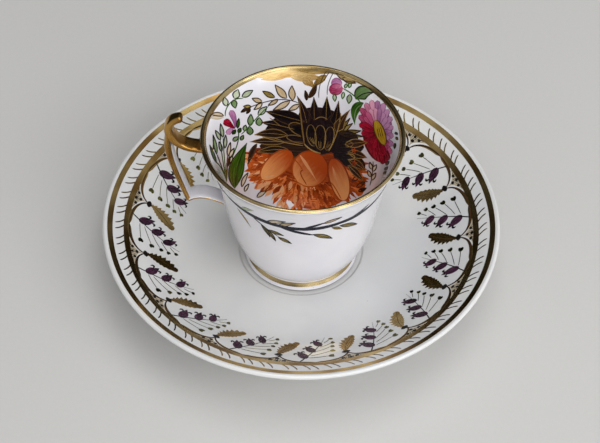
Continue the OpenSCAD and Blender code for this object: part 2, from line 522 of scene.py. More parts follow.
@dataclass(frozen=True)
class Enamel:
    """Overglaze enamel laid on with a brush: it pools along the stroke and streaks.

    The film's map runs along a stroke and across it, and tone is a value that each stroke has. The
    streaks are noise that is drawn out by one amount along a stroke, one across it and one by tone.
    """

    name: str
    light: str
    deep: str
    edge: str = ""
    fade: float = 0.0
    streak: float = 0.5
    metal: float = 0.0
    roughness: float = 0.26
    gloss: float = 0.1
    drawn_out: tuple[float, float, float] = (2.2, 7.0, 40.0)
    streak_scale: float = 1.6
    streak_strength: float = 1.6
    tone_strength: float = 0.6
    edge_range: Point = (0.66, 0.95)
    edge_strength: float = 0.85

    def material(self) -> bpy.types.Material:
        """Makes the material.

        Returns:
            The material, ready for use.
        """
        recipe = Recipe(self.name)
        chart = recipe.out("ShaderNodeUVMap", "UV", {"uv_map": "stroke"})
        along, side, _ = recipe.xyz(chart)
        tone = recipe.out("ShaderNodeAttribute", "Fac", {"attribute_name": "tone"})
        parts = {axis: value * much for axis, value, much in zip("XYZ", (along, side, tone), self.drawn_out)}
        lane = recipe.out("ShaderNodeCombineXYZ", "Vector", None, parts)
        streak = recipe.noise(lane, self.streak_scale, 3.0) - 0.5
        depth = (along - 0.5) * self.fade + 0.5 + streak * self.streak * self.streak_strength
        depth = depth + (tone - 0.5) * self.tone_strength
        colour = recipe.mix(depth.step(0.0, 1.0), tint(self.deep), tint(self.light))
        if self.edge:
            rim = abs(side * 2 - 1).step(*self.edge_range) * self.edge_strength
            colour = recipe.mix(rim, colour, tint(self.edge))
        return recipe.surface({
            "Base Color": colour,
            "Metallic": self.metal,
            "Roughness": self.roughness + streak * 0.2,
            "Specular IOR Level": self.gloss,
            "Coat Weight": self.gloss * 0.4,
            "Coat Roughness": 0.1,
        })


class Paint(Enum):
    """The colours on the painter's palette."""

    INK = Enamel("ink", "1a1512", "090605", roughness=0.4)
    BROWN = Enamel("brown_line", "4e3620", "20130a")
    WASH = Enamel("tan_wash", "b5ab98", "978c75", streak=0.9, roughness=0.32)
    PLUM = Enamel("plum", "4e2e44", "1e0e1a", fade=-0.4, streak=0.9)
    LEAF_GOLD = Enamel("leaf_gold", "ccae74", "84662e", fade=-0.3, streak=0.9, metal=0.95, roughness=0.14)
    FEATHER_GOLD = Enamel("feather_gold", "a08c5e", "5a4826", streak=0.6, metal=0.9, roughness=0.14)
    BUD_GOLD = Enamel("bud_gold", "8c8a4e", "3e3e20", streak=0.6, metal=1.0, roughness=0.16)
    OLIVE = Enamel("olive", "a08c4c", "5a4a1c", edge="3a2c10", streak=0.9)
    TAN = Enamel("tan", "e6dac2", "b29870", edge="54391f", streak=0.8)
    NAVY = Enamel("navy", "191b2e", "07080f")
    GREEN = Enamel("green", "8ba372", "4c6b36", edge="2b4420", fade=0.4)
    SAGE = Enamel("sage", "c4cbb2", "8d9a78", edge="3c4a34", streak=0.8)
    DARK_GREEN = Enamel("dark_green", "3c6a18", "122c06", fade=0.2, streak=1.2)
    PINK = Enamel("pink", "e2a0b8", "a84a70", edge="8a2a50", fade=0.6, streak=0.9)
    ROSE = Enamel("rose", "cc6088", "8c2448", edge="741838", fade=0.6, streak=0.9)
    CRIMSON = Enamel("crimson", "b01434", "5e0816", edge="4c0610", fade=0.5, streak=0.8)
    MAUVE = Enamel("mauve", "c48cb2", "8a487c", edge="6e3460", fade=0.6, streak=0.9)
    OCHRE = Enamel("ochre", "e2ba40", "ac8418", edge="6a4e10", streak=0.7)
    ORANGE = Enamel("orange", "f2a460", "b44606", fade=1.1, streak=0.25, roughness=0.2)
    PEACH = Enamel("peach", "f2b884", "da8c50", streak=0.8)
    FLAME = Enamel("flame", "ee8844", "bc4e14", streak=1.0)
    RUST = Enamel("rust", "c4540e", "762400", fade=0.4, streak=1.0)
    AUBERGINE = Enamel("aubergine", "221213", "070304", streak=0.9)
    UMBER = Enamel("umber", "3a2210", "0f0704", edge="5e4020", streak=0.9)
    PALE_GOLD = Enamel("pale_gold", "d0b27a", "ac8446", fade=-0.8, streak=0.9, metal=0.45)
    GOLD = Enamel("painted_gold", "c9a862", "86642a", streak=0.8, metal=0.8)

    def slot(self) -> "Slot":
        """The record's material slot that the colour belongs to."""
        return Slot.GILDING if self.value.metal else Slot.ENAMEL


class Slot(Enum):
    """The record's material slots."""

    PORCELAIN = "porcelain"
    GILDING = "gilding"
    ENAMEL = "enamel"


class Body(Enum):
    """The bodies that move on their own."""

    SAUCER = "saucer"
    CUP = "cup"


# Pieces

class Workshop:
    """Makes pieces, keeps one material for each finish, and rides pieces on their bodies."""

    def __init__(self) -> None:
        """Prepares the node trees."""
        self.turning = turning_tree()
        self.ring = ring_tree()
        self.materials: dict[object, bpy.types.Material] = {}

    def material(self, finish: Glaze | Gilding | Enamel) -> bpy.types.Material:
        """Finds the material of a finish, which is made at its first use.

        Args:
            finish: The finish.

        Returns:
            Its material.
        """
        if finish not in self.materials:
            self.materials[finish] = finish.material()
        return self.materials[finish]

    def piece(self, name: str, verts: Sequence[Vector], faces: Sequence[Sequence[int]],
              finish: Glaze | Gilding | Enamel | None = None) -> Piece:
        """Makes a mesh object.

        Args:
            name: The piece's name.
            verts: Its points, in millimetres.
            faces: Its faces, as runs of point numbers.
            finish: Its finish.

        Returns:
            The new object, at the origin.
        """
        mesh = bpy.data.meshes.new(name)
        mesh.from_pydata([v * MM for v in verts], [], faces)
        piece = bpy.data.objects.new(name, mesh)
        bpy.context.scene.collection.objects.link(piece)
        if finish:
            mesh.materials.append(self.material(finish))
        return piece

    def turned(self, name: str, outline: Sequence[Point], segments: int, finish: Glaze | Gilding,
               lift: float = 0.0) -> Piece:
        """Turns an outline about the common axis.

        Args:
            name: The piece's name.
            outline: Radius and height, counter-clockwise seen with the radius to the right.
            segments: Faces round the axis.
            finish: Its finish.
            lift: Height that the outline is raised by.

        Returns:
            The turned piece.
        """
        piece = self.piece(name, [Vector((r, 0.0, z + lift)) for r, z in outline], [])
        self.turning.apply(piece, {"Segments": segments, "Material": self.material(finish)})
        self.smooth(piece)
        return piece

    def smooth(self, piece: Piece) -> None:
        """Shades a piece smoothly but for its sharp edges."""
        piece.data.shade_smooth()
        piece.data.set_sharp_from_angle(angle=SMOOTH_ANGLE)

    def hand_over(self, piece: Piece, body: Body, slot: Slot, *nodes: str) -> None:
        """Rides a finished piece on its body and reports it.

        Args:
            piece: The piece.
            body: The body that it moves with.
            slot: The record's material slot; not used.
            nodes: The CAD nodes that it stands for.
        """
        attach(piece, body.value)
        if nodes:
            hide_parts(*nodes)
        LOG.info("%s rides on %s: %d faces", piece.name, body.value, len(piece.data.polygons))


# Painting

class Brush(Enum):
    """How wide a stroke is along its length."""

    LINE = "line"
    TAPER = "taper"
    SWELL = "swell"
    LEAF = "leaf"
    PETAL = "petal"
    OVAL = "oval"
    FLARE = "flare"
    SPIKE = "spike"
    SAW = "saw"

    def half_width(self, t: float) -> float:
        """Finds how wide a stroke is at one place.

        Args:
            t: The place, as a share of the length.

        Returns:
            The share of the full half width.
        """
        if self is Brush.LINE:
            return min(1.0, 0.4 + 6 * t, 0.4 + 6 * (1 - t))
        if self is Brush.TAPER:
            return min(1.0, 0.4 + 6 * t) * (1 - t) ** 0.7
        if self is Brush.SWELL:
            return math.sin(math.pi * t) ** 0.6
        if self is Brush.LEAF:
            return math.sin(math.pi * t ** 0.82) ** 1.15
        if self is Brush.PETAL:
            return t ** 0.75 * (1 - t ** 7) ** 0.5 * 1.06
        if self is Brush.OVAL:
            return max(0.0, 1 - (2 * t - 1) ** 2) ** 0.5
        if self is Brush.FLARE:
            return t ** 3.2
        if self is Brush.SPIKE:
            return min(1.0, 4 * t) * (1 - t) ** 1.15
        return math.sin(math.pi * (0.05 + t * 0.91) ** 1.35) ** 0.75


class Canvas(ABC):
    """A surface that is painted on, laid out flat in millimetres."""

    @abstractmethod
    def place(self, across: float, up: float) -> tuple[Vector, Vector]:
        """Carries a point of the flat canvas to the surface, and finds the outward normal there."""


@dataclass
class Stroke:
    """One brush stroke, cut into short pieces: its middle line and its half widths left and right.

    A higher layer lies over those below, and tone, from 0 to 1, shifts the colour.
    """

    paint: Paint
    line: Line
    left: list[float]
    right: list[float]
    layer: float
    tone: float

    def edge(self, side: int) -> Line:
        """The stroke's left edge (1) or right edge (-1)."""
        halves = self.left if side > 0 else self.right
        return [aside(p, n, h * side) for p, n, h in zip(self.line, left_normals(self.line), halves)]


@dataclass
class Painter:
    """Lays strokes on one canvas and makes a closed enamel film of each colour.

    The seed fixes the unevenness of the hand, and wobble is how far a point strays. A tooth's widths are
    those along one tooth of a sawn leaf, and a vein's is a share of the pen that outlines the leaf. Strokes
    in one layer rise over one another, a stack at a time, and a film's underside sinks into the surface.
    """

    canvas: Canvas
    seed: int
    wobble: float = 0.08
    piece_length: float = 0.55
    fewest_pieces: int = 6
    fewest_round: int = 12
    most_pieces: int = 60
    finest: float = 0.03
    left_tooth: tuple[float, ...] = (0.66, 0.92, 1.2)
    right_tooth: tuple[float, ...] = (0.8, 0.88, 0.98)
    pen: float = 0.36
    vein: float = 0.7
    stem: float = 0.26
    spread: float = 50.0
    leaf_stray: float = 9.0
    leaf_sizes: Point = (0.8, 1.15)
    lift: float = 0.03
    layer_lift: float = 0.012
    stack: int = 40
    stack_rise: float = 0.9
    sink: float = 0.05
    lane_width: float = 0.8
    most_lanes: int = 20
    strokes: list[Stroke] = field(default_factory=list)

    def __post_init__(self) -> None:
        """Seeds the painter's hand."""
        self.hand = random.Random(self.seed)

    def stray(self, point: Point) -> Point:
        """A point, as an unsteady hand lays it."""
        return (point[0] + self.hand.gauss(0, self.wobble), point[1] + self.hand.gauss(0, self.wobble))

    def halves(self, brush: Brush, width: float, pieces: int) -> list[float]:
        """The half width at each point of a stroke."""
        return [max(self.finest, width / 2 * brush.half_width(i / pieces)) for i in range(pieces + 1)]

    def stroke(self, paint: Paint, brush: Brush, width: float, *path: Point, layer: float = 2,
               teeth: int = 0) -> Stroke:
        """Lays one stroke.

        Args:
            paint: Its colour.
            brush: How its width runs.
            width: Its full width.
            path: Its end points, with any pull points between them.
            layer: A higher one lies over those below.
            teeth: Teeth along each edge of a sawn leaf, deeper on the left.

        Returns:
            The stroke.
        """
        points = [self.stray(p) for p in path]
        length = sum((Vector(b) - Vector(a)).length for a, b in zip(points, points[1:]))
        fewest = self.fewest_round if brush in (Brush.OVAL, Brush.PETAL) else self.fewest_pieces
        pieces = max(fewest, min(self.most_pieces, math.ceil(length / self.piece_length)))
        if not teeth:
            half = self.halves(brush, width, pieces)
            return self.lay(paint, curve(points, pieces), half, half, layer)
        pieces = teeth * len(self.left_tooth)
        half = self.halves(brush, width, pieces)
        left, right = ([h * tooth[i % len(tooth)] for i, h in enumerate(half)]
                       for tooth in (self.left_tooth, self.right_tooth))
        return self.lay(paint, curve(points, pieces), left, right, layer)

    def lay(self, paint: Paint, line: Line, left: list[float], right: list[float],
            layer: float) -> Stroke:
        """Adds a finished stroke, a hair above the one before it in the same layer.

        Args:
            paint: Its colour.
            line: Its middle line.
            left: Half width to the left of the line, at each point.
            right: Half width to the right of the line, at each point.
            layer: A higher one lies over those below.

        Returns:
            The stroke.
        """
        rise = self.stack_rise * (len(self.strokes) % self.stack) / self.stack
        made = Stroke(paint, line, left, right, layer + rise, self.hand.random())
        self.strokes.append(made)
        return made

    def line(self, paint: Paint, width: float, *path: Point, layer: float = 4) -> Stroke:
        """Lays a fine line of even width."""
        return self.stroke(paint, Brush.LINE, width, *path, layer=layer)

    def outline(self, paint: Paint, width: float, shape: Stroke) -> None:
        """Draws along both edges of a stroke.

        Args:
            paint: The line's colour.
            width: The line's full width.
            shape: The stroke that is outlined.
        """
        half = self.halves(Brush.LINE, width, len(shape.line) - 1)
        for side in (1, -1):
            self.lay(paint, shape.edge(side), half, half, shape.layer + 1)

    def leaf(self, paint: Paint, line: Paint | None, width: float, base: Point, tip: Point, bend: float = 0.0,
             rib: bool = False, layer: float = 2) -> None:
        """Lays a pointed leaf.

        Args:
            paint: Its colour.
            line: The colour of its outline, if it has one.
            width: Its full width.
            base: Where it leaves its stem.
            tip: Its point.
            bend: How far its middle lies to the left of the straight way, as a share of its length.
            rib: Whether it has a middle vein, if it has an outline.
            layer: A higher one lies over those below.
        """
        x, y = between(base, tip, 0.5)
        middle = (x - (tip[1] - base[1]) * bend, y + (tip[0] - base[0]) * bend)
        shape = self.stroke(paint, Brush.LEAF, width, base, middle, tip, layer=layer)
        if line:
            self.outline(line, self.pen, shape)
        if line and rib:
            self.line(line, self.pen * self.vein, base, middle, tip, layer=layer + 1)

    def sprig(self, line: Paint, leaf: Paint, edge: Paint | None, path: Sequence[Point], pairs: int,
              size: float, width: float) -> None:
        """Lays a stem with leaves on both sides and one at its end.

        Args:
            line: The stem's colour.
            leaf: The leaves' colour.
            edge: The colour of the leaves' outlines, if they have them.
            path: The stem's end points, with any pull points between them.
            pairs: How many pairs of leaves it has.
            size: A leaf's length.
            width: A leaf's width.
        """
        stem = self.line(line, self.stem, *path).line
        last = len(stem) - 1
        for k in range(pairs):
            i = round(last * (k + 1) / (pairs + 0.6))
            a, b = Vector(stem[max(i - 1, 0)]), Vector(stem[min(i + 1, last)])
            heading = math.atan2(b.y - a.y, b.x - a.x)
            for side in (1, -1):
                stray = self.hand.uniform(-self.leaf_stray, self.leaf_stray)
                turn = heading + side * math.radians(self.spread + stray)
                reach = size * self.hand.uniform(*self.leaf_sizes)
                tip = (stem[i][0] + reach * math.cos(turn), stem[i][1] + reach * math.sin(turn))
                self.leaf(leaf, edge, width, stem[i], tip, bend=0.12 * side)
        ahead = (Vector(stem[-1]) - Vector(stem[-2])).normalized()
        self.leaf(leaf, edge, width, stem[-1], aside(stem[-1], ahead, size))

    def films(self, prefix: str, shop: Workshop) -> list[tuple[Paint, Piece]]:
        """Makes one closed film of each colour that was used, in the palette's order."""
        sets = [(paint, [s for s in self.strokes if s.paint is paint]) for paint in Paint]
        return [(paint, self.film(f"{prefix}_{paint.value.name}", strokes, shop))
                for paint, strokes in sets if strokes]

    def ring_of_films(self, prefix: str, shop: Workshop, body: Body, count: int, first: float = 0.0,
                      crowding: float = 0.0, jitter: float = 0.0) -> None:
        """Makes the films, repeats each round the common axis, and hands it over.

        Args:
            prefix: What the films' names start with.
            shop: Where the pieces are made.
            body: The body that they move with.
            count: How often each is repeated.
            first: The first one's turn, in degrees.
            crowding: How far those at the sides move to the front, in degrees.
            jitter: How far each one's turn strays, in degrees.
        """
        turns = {"First angle": first, "Crowding": crowding, "Jitter": jitter}
        for paint, film in self.films(prefix, shop):
            shop.ring.apply(film, {name: math.radians(turn) for name, turn in turns.items()} | {
                "Count": count, "Seed": self.seed, "Material": shop.material(paint.value)})
            shop.hand_over(film, body, paint.slot())

    def film(self, name: str, strokes: Sequence[Stroke], shop: Workshop) -> Piece:
        """Makes the closed film of one colour.

        Args:
            name: The film's name.
            strokes: Its strokes.
            shop: Where the piece is made.

        Returns:
            The film, with its stroke map and its tones.
        """
        verts: list[Vector] = []
        faces: list[tuple[int, ...]] = []
        chart: Line = []
        tones: list[float] = []
        for stroke in strokes:
            widest = max(a + b for a, b in zip(stroke.left, stroke.right))
            lanes = max(1, min(self.most_lanes, math.ceil(widest / self.lane_width)))
            rows = len(stroke.line)
            under = rows * (lanes + 1)
            faces += self.film_faces(len(verts), rows, lanes)
            height = self.lift + self.layer_lift * stroke.layer
            top, bottom = [], []
            for i, (a, b) in enumerate(zip(stroke.edge(1), stroke.edge(-1))):
                for j in range(lanes + 1):
                    point, normal = self.canvas.place(*between(a, b, j / lanes))
                    top.append(point + normal * height)
                    bottom.append(point - normal * self.sink)
                    chart.append((i / (rows - 1), j / lanes))
            verts += top + bottom
            chart += chart[-under:]
            tones += [stroke.tone] * (2 * under)
        piece = shop.piece(name, verts, faces, strokes[0].paint.value)
        layer = piece.data.uv_layers.new(name="stroke")
        for loop in piece.data.loops:
            layer.data[loop.index].uv = chart[loop.vertex_index]
        tone = piece.data.attributes.new("tone", "FLOAT", "POINT")
        tone.data.foreach_set("value", tones)
        shop.smooth(piece)
        return piece

    @staticmethod
    def film_faces(first: int, rows: int, lanes: int) -> list[tuple[int, ...]]:
        """The faces of one stroke's film.

        Args:
            first: The number of its first point.
            rows: Points along it.
            lanes: Faces across it.

        Returns:
            Its top, its underside and the wall round them.
        """
        wide = lanes + 1
        under = rows * wide
        faces = []
        for i in range(rows - 1):
            for j in range(lanes):
                a = first + i * wide + j
                quad = (a, a + 1, a + wide + 1, a + wide)
                faces.append(quad)
                faces.append(tuple(k + under for k in reversed(quad)))
        rim = [first + i * wide for i in range(rows)]
        rim += [first + (rows - 1) * wide + j for j in range(1, wide)]
        rim += [first + i * wide + lanes for i in range(rows - 2, -1, -1)]
        rim += [first + j for j in range(lanes - 1, 0, -1)]
        for a, b in zip(rim, rim[1:] + rim[:1]):
            faces.append((a, b, b + under, a + under))
        return faces


# The saucer

@dataclass
class Saucer:
    """The deep saucer: its turned body and its two gold rings."""

    shop: Workshop
    radius: float
    edge_z: float = 23.6
    floor_z: float = 6.6
    well_r: float = 22.4
    well_depth: float = 0.6
    well_edge: tuple[float, ...] = (0.5, -0.1, -0.2, -0.8)
    floor_r: float = 28.0
    floor_t: float = 3.2
    lip_t: float = 1.7
    lip_slope: float = 26.0
    floor_pull: float = 19.0
    wall_pull: float = 21.0
    foot_r: float = 38.0
    foot_w: float = 2.0
    foot_splay: float = 1.2
    foot_soft: float = 0.5
    gilt_sink: float = 0.2
    gilt_proud: float = 0.06
    rim_band: Point = (66.5, 68.3)
    vine_band: Point = (60.9, 62.8)
    top_steps: int = 56
    well_steps: int = 10
    segments: int = 256
    glaze: Glaze = Glaze("saucer_glaze", "dfdfde", "d6d7d8")
    gilt: Gilding = Gilding("saucer_gilding", "d0b478", "866634", roughness=0.14)

    def lip_centre(self) -> Point:
        """The centre of the round lip."""
        return (self.radius - self.lip_t / 2, self.edge_z)

    def top(self) -> Line:
        """Draws the upper face.

        Returns:
            Its line, from the flat floor to the lip.
        """
        slope = math.radians(self.lip_slope)
        c, s = math.cos(slope), math.sin(slope)
        centre = self.lip_centre()
        start = (self.floor_r, self.floor_z + self.well_depth)
        end = (centre[0] - self.lip_t / 2 * s, centre[1] + self.lip_t / 2 * c)
        pulls = ((self.floor_pull, 0.0), (-self.wall_pull * c, -self.wall_pull * s))
        return pulled(start, end, pulls, self.top_steps)

    def well(self) -> Line:
        """Draws the shallow well that the cup stands in.

        Returns:
            Its line, from its soft edge to the middle of its floor.
        """
        low, high = self.floor_z, self.floor_z + self.well_depth
        reach = [self.well_r + away for away in self.well_edge]
        return curve(list(zip(reach, (high, high, low, low))), self.well_steps) + [(0.0, low)]

    def outline(self) -> Line:
        """Draws the whole outline.

        Returns:
            Its line, from the middle of the underside round to the middle of the floor.
        """
        top = self.top()
        under = shifted(top, -self.floor_t, -self.lip_t)
        outer, inner = self.foot_r, self.foot_r - self.foot_w
        high_outer, high_inner = outer + self.foot_splay, inner - self.foot_splay
        below = self.floor_z - self.floor_t
        soft = self.foot_soft
        foot = [
            (0.0, below), (high_inner - 1.5, below), (high_inner - 0.3, below - 0.3),
            (high_inner + 0.2, below - 1.2), (inner, soft), (inner + soft / 2, 0.1), (inner + soft, 0.0),
            (outer - soft, 0.0), (outer - soft / 2, 0.1), (outer, soft), (high_outer - 0.2, below - 1.2),
            (high_outer + 0.3, below - 0.2),
        ]
        wall = [p for p in under if p[0] > high_outer + 1.5]
        lip = round_lip(self.lip_centre(), self.lip_t, self.lip_slope)
        return foot + wall[:-1] + lip[:-1] + top[::-1] + self.well()

    def build(self) -> None:
        """Makes the body and the gold rings."""
        top = self.top()
        body = self.shop.turned("saucer_body", self.outline(), self.segments, self.glaze)
        self.shop.hand_over(body, Body.SAUCER, Slot.PORCELAIN, "saucer")
        for name, band in (("saucer_rim_gilding", self.rim_band), ("saucer_vine_gilding", self.vine_band)):
            line = clipped(top, 0, *band)
            ring = self.shop.turned(name + "_ring", ribbon(line, self.gilt_sink, self.gilt_proud),
                                    self.segments, self.gilt)
            self.shop.hand_over(ring, Body.SAUCER, Slot.GILDING, name)


class DishCanvas(Canvas):
    """The saucer's upper face, laid out as it looks from above."""

    probe = 0.5

    def __init__(self, saucer: Saucer) -> None:
        """Keeps the line of the upper face."""
        self.line = [(0.0, saucer.floor_z), *saucer.top()]

    def place(self, across: float, up: float) -> tuple[Vector, Vector]:
        """Carries a point of the plan to the upper face.

        Args:
            across: Its place along X.
            up: Its place along Y.

        Returns:
            The point of the upper face, and the normal there.
        """
        radius = math.hypot(across, up)
        low, z, high = (value_on(self.line, 0, radius + away) for away in (-self.probe, 0.0, self.probe))
        rise = (high - low) / (2 * self.probe)
        normal = Vector((-rise * across / radius, -rise * up / radius, 1.0)).normalized()
        return Vector((across, up, z)), normal


@dataclass
class SaucerBorder:
    """The painted border: scallops of harebells and sawn leaves under a ring of feather strokes.

    Places are an angle from the middle of a scallop, in degrees, and a radius.
    """

    shop: Workshop
    saucer: Saucer
    scallops: int = 15
    hands: int = 3
    first_angle: float = 11.3
    crowding: float = 2.2
    knot_r: float = 56.3
    touch_r: float = 61.0
    feathers: int = 56
    painter: Painter = field(init=False)
    scallop_jitter: float = 0.17
    feather_jitter: float = 0.45
    feather_starts: tuple[float, ...] = (0.0, 2.4)
    seed: int = 41

    def at(self, angle: float, radius: float) -> Point:
        """A place in a scallop, on the plan."""
        turn = math.radians(angle)
        return (radius * math.cos(turn), radius * math.sin(turn))

    def half_angle(self) -> float:
        """Half the angle of a scallop."""
        return 180 / self.scallops

    def build(self) -> None:
        """Paints a few scallops by hand, repeats each round the saucer, and adds the feathers."""
        step = 360 / self.scallops
        for k in range(self.hands):
            self.painter = Painter(DishCanvas(self.saucer), self.seed + k)
            self.scallop()
            self.painter.ring_of_films(
                f"border_{k + 1}", self.shop, Body.SAUCER, self.scallops // self.hands,
                self.first_angle + step * k, self.crowding, self.scallop_jitter)
        self.painter = Painter(DishCanvas(self.saucer), self.seed, wobble=0.0)
        self.feather_pair()
        self.painter.ring_of_films("feathers", self.shop, Body.SAUCER, self.feathers,
                                   jitter=self.feather_jitter)

    def scallop(self) -> None:
        """Paints one scallop, with the knot and the spandrel at its lower end."""
        painter = self.painter
        half = self.half_angle()
        knot = self.at(-half, self.knot_r)
        for side in (-1, 1):
            bow = [self.at(0, self.touch_r), self.at(side * half * 0.5, self.touch_r),
                   self.at(side * half * 0.86, 59.9), self.at(side * half, self.knot_r)]
            painter.line(Paint.BROWN, 0.5, *bow)
            painter.stroke(Paint.LEAF_GOLD, Brush.TAPER, 1.5, *bow, layer=3)
        painter.stroke(Paint.WASH, Brush.FLARE, 17.0, knot, self.at(-half, 61.2), layer=1)
        for angle, radius in ((0.0, 58.9), (-2.2, 60.1), (2.4, 60.1), (0.1, 60.4)):
            painter.stroke(Paint.INK, Brush.OVAL, 1.0, self.at(-half + angle - 0.65, radius),
                           self.at(-half + angle + 0.65, radius + 0.1), layer=3)
        for k in range(-5, 6):
            painter.line(Paint.BROWN, 0.22, self.at(-half + k * 0.9, 61.0),
                         self.at(-half + k * 0.7 + 0.4, 59.2 + abs(k) * 0.3), layer=2)
        painter.stroke(Paint.INK, Brush.SWELL, 1.7, self.at(-half - 1.5, 56.0), self.at(-half + 1.5, 56.0),
                       layer=5)
        self.sawn_leaf()
        self.harebells()
        self.heart_buds()

    def sawn_leaf(self) -> None:
        """Paints the gold leaf that hangs from the knot."""
        painter = self.painter
        half = self.half_angle()
        path = [self.at(-half, 55.6), self.at(-half + 0.3, 52.9), self.at(-half + 2.2, 49.9),
                self.at(-half + 6.9, 46.2)]
        painter.stroke(Paint.LEAF_GOLD, Brush.SAW, 4.7, *path, teeth=8)
        painter.line(Paint.BROWN, 0.2, *path, layer=3)

    def harebells(self) -> None:
        """Paints the main stem and its three bells."""
        painter = self.painter
        stem = [self.at(-5.0, 60.5), self.at(-2.6, 57.4), self.at(2.4, 50.6), self.at(6.4, 43.8)]
        painter.stroke(Paint.INK, Brush.TAPER, 0.48, *stem, layer=4)
        for base, mouth, size in (
            ((-2.5, 57.8), (-5.0, 53.7), 1.0),
            ((0.7, 53.4), (-2.0, 49.7), 0.92),
            ((3.9, 49.2), (1.4, 45.7), 0.84),
        ):
            self.bell(self.at(*base), self.at(*mouth), size)

    def bell(self, base: Point, mouth: Point, size: float) -> None:
        """Paints one bell, with its tongue and two curled tips.

        Args:
            base: Where it meets the stem.
            mouth: The middle of its open end.
            size: Its size against the largest.
        """
        painter = self.painter
        axis = (Vector(mouth) - Vector(base)).normalized()
        side = Vector((-axis.y, axis.x))

        def local(along: float, across: float) -> Point:
            """A place from the mouth, along the bell and across it."""
            spot = Vector(mouth) + (axis * along + side * across) * size
            return (spot.x, spot.y)

        painter.stroke(Paint.PLUM, Brush.OVAL, 3.2 * size, base, local(0.0, 0.0), layer=2)
        painter.stroke(Paint.PLUM, Brush.LEAF, 1.4 * size, local(-1.6, 0.0), local(1.3, 0.0), layer=3)
        painter.line(Paint.INK, 0.2, base, local(-0.8, 0.0), layer=4)
        for turn in (1, -1):
            curl = [local(along, across * turn) for along, across in
                    ((-0.8, 0.7), (0.6, 1.0), (0.5, 2.0), (-0.6, 2.0))]
            painter.stroke(Paint.INK, Brush.SWELL, 0.75 * size, *curl, layer=4)

    def heart_buds(self) -> None:
        """Paints the five fine stems and their heart-shaped buds."""
        painter = self.painter
        roots = ((-1.8, 57.6), (-0.9, 55.8), (0.8, 53.1), (3.2, 49.9), (5.2, 47.0))
        tips = ((5.0, 57.0), (6.2, 53.6), (7.0, 50.5), (7.8, 48.0), (7.9, 45.4))
        for k, (root, tip) in enumerate(zip(roots, tips)):
            base, end = Vector(self.at(*root)), Vector(self.at(*tip))
            ahead = (end - base).normalized()
            side = Vector((-ahead.y, ahead.x))
            middle = self.at((root[0] + tip[0]) / 2, root[1] * 0.62 + tip[1] * 0.38)
            painter.stroke(Paint.BUD_GOLD, Brush.LINE, 0.2, self.at(*root), middle, tuple(end), layer=3)
            size = 1.0 - 0.07 * k
            for turn in (1, -1):
                lobe = end + (ahead * 1.8 + side * 0.55 * turn) * size
                painter.stroke(Paint.BUD_GOLD, Brush.OVAL, 1.15 * size, tuple(end), tuple(lobe), layer=4)

    def feather_pair(self) -> None:
        """Paints two feather strokes that curl out from the vine."""
        painter = self.painter
        for start in self.feather_starts:
            path = [self.at(start + turn, radius) for turn, radius in
                    ((0.0, 61.9), (1.3, 62.8), (2.7, 64.0), (3.2, 65.6))]
            painter.stroke(Paint.FEATHER_GOLD, Brush.LINE, 0.46, *path, layer=2)


# The cup

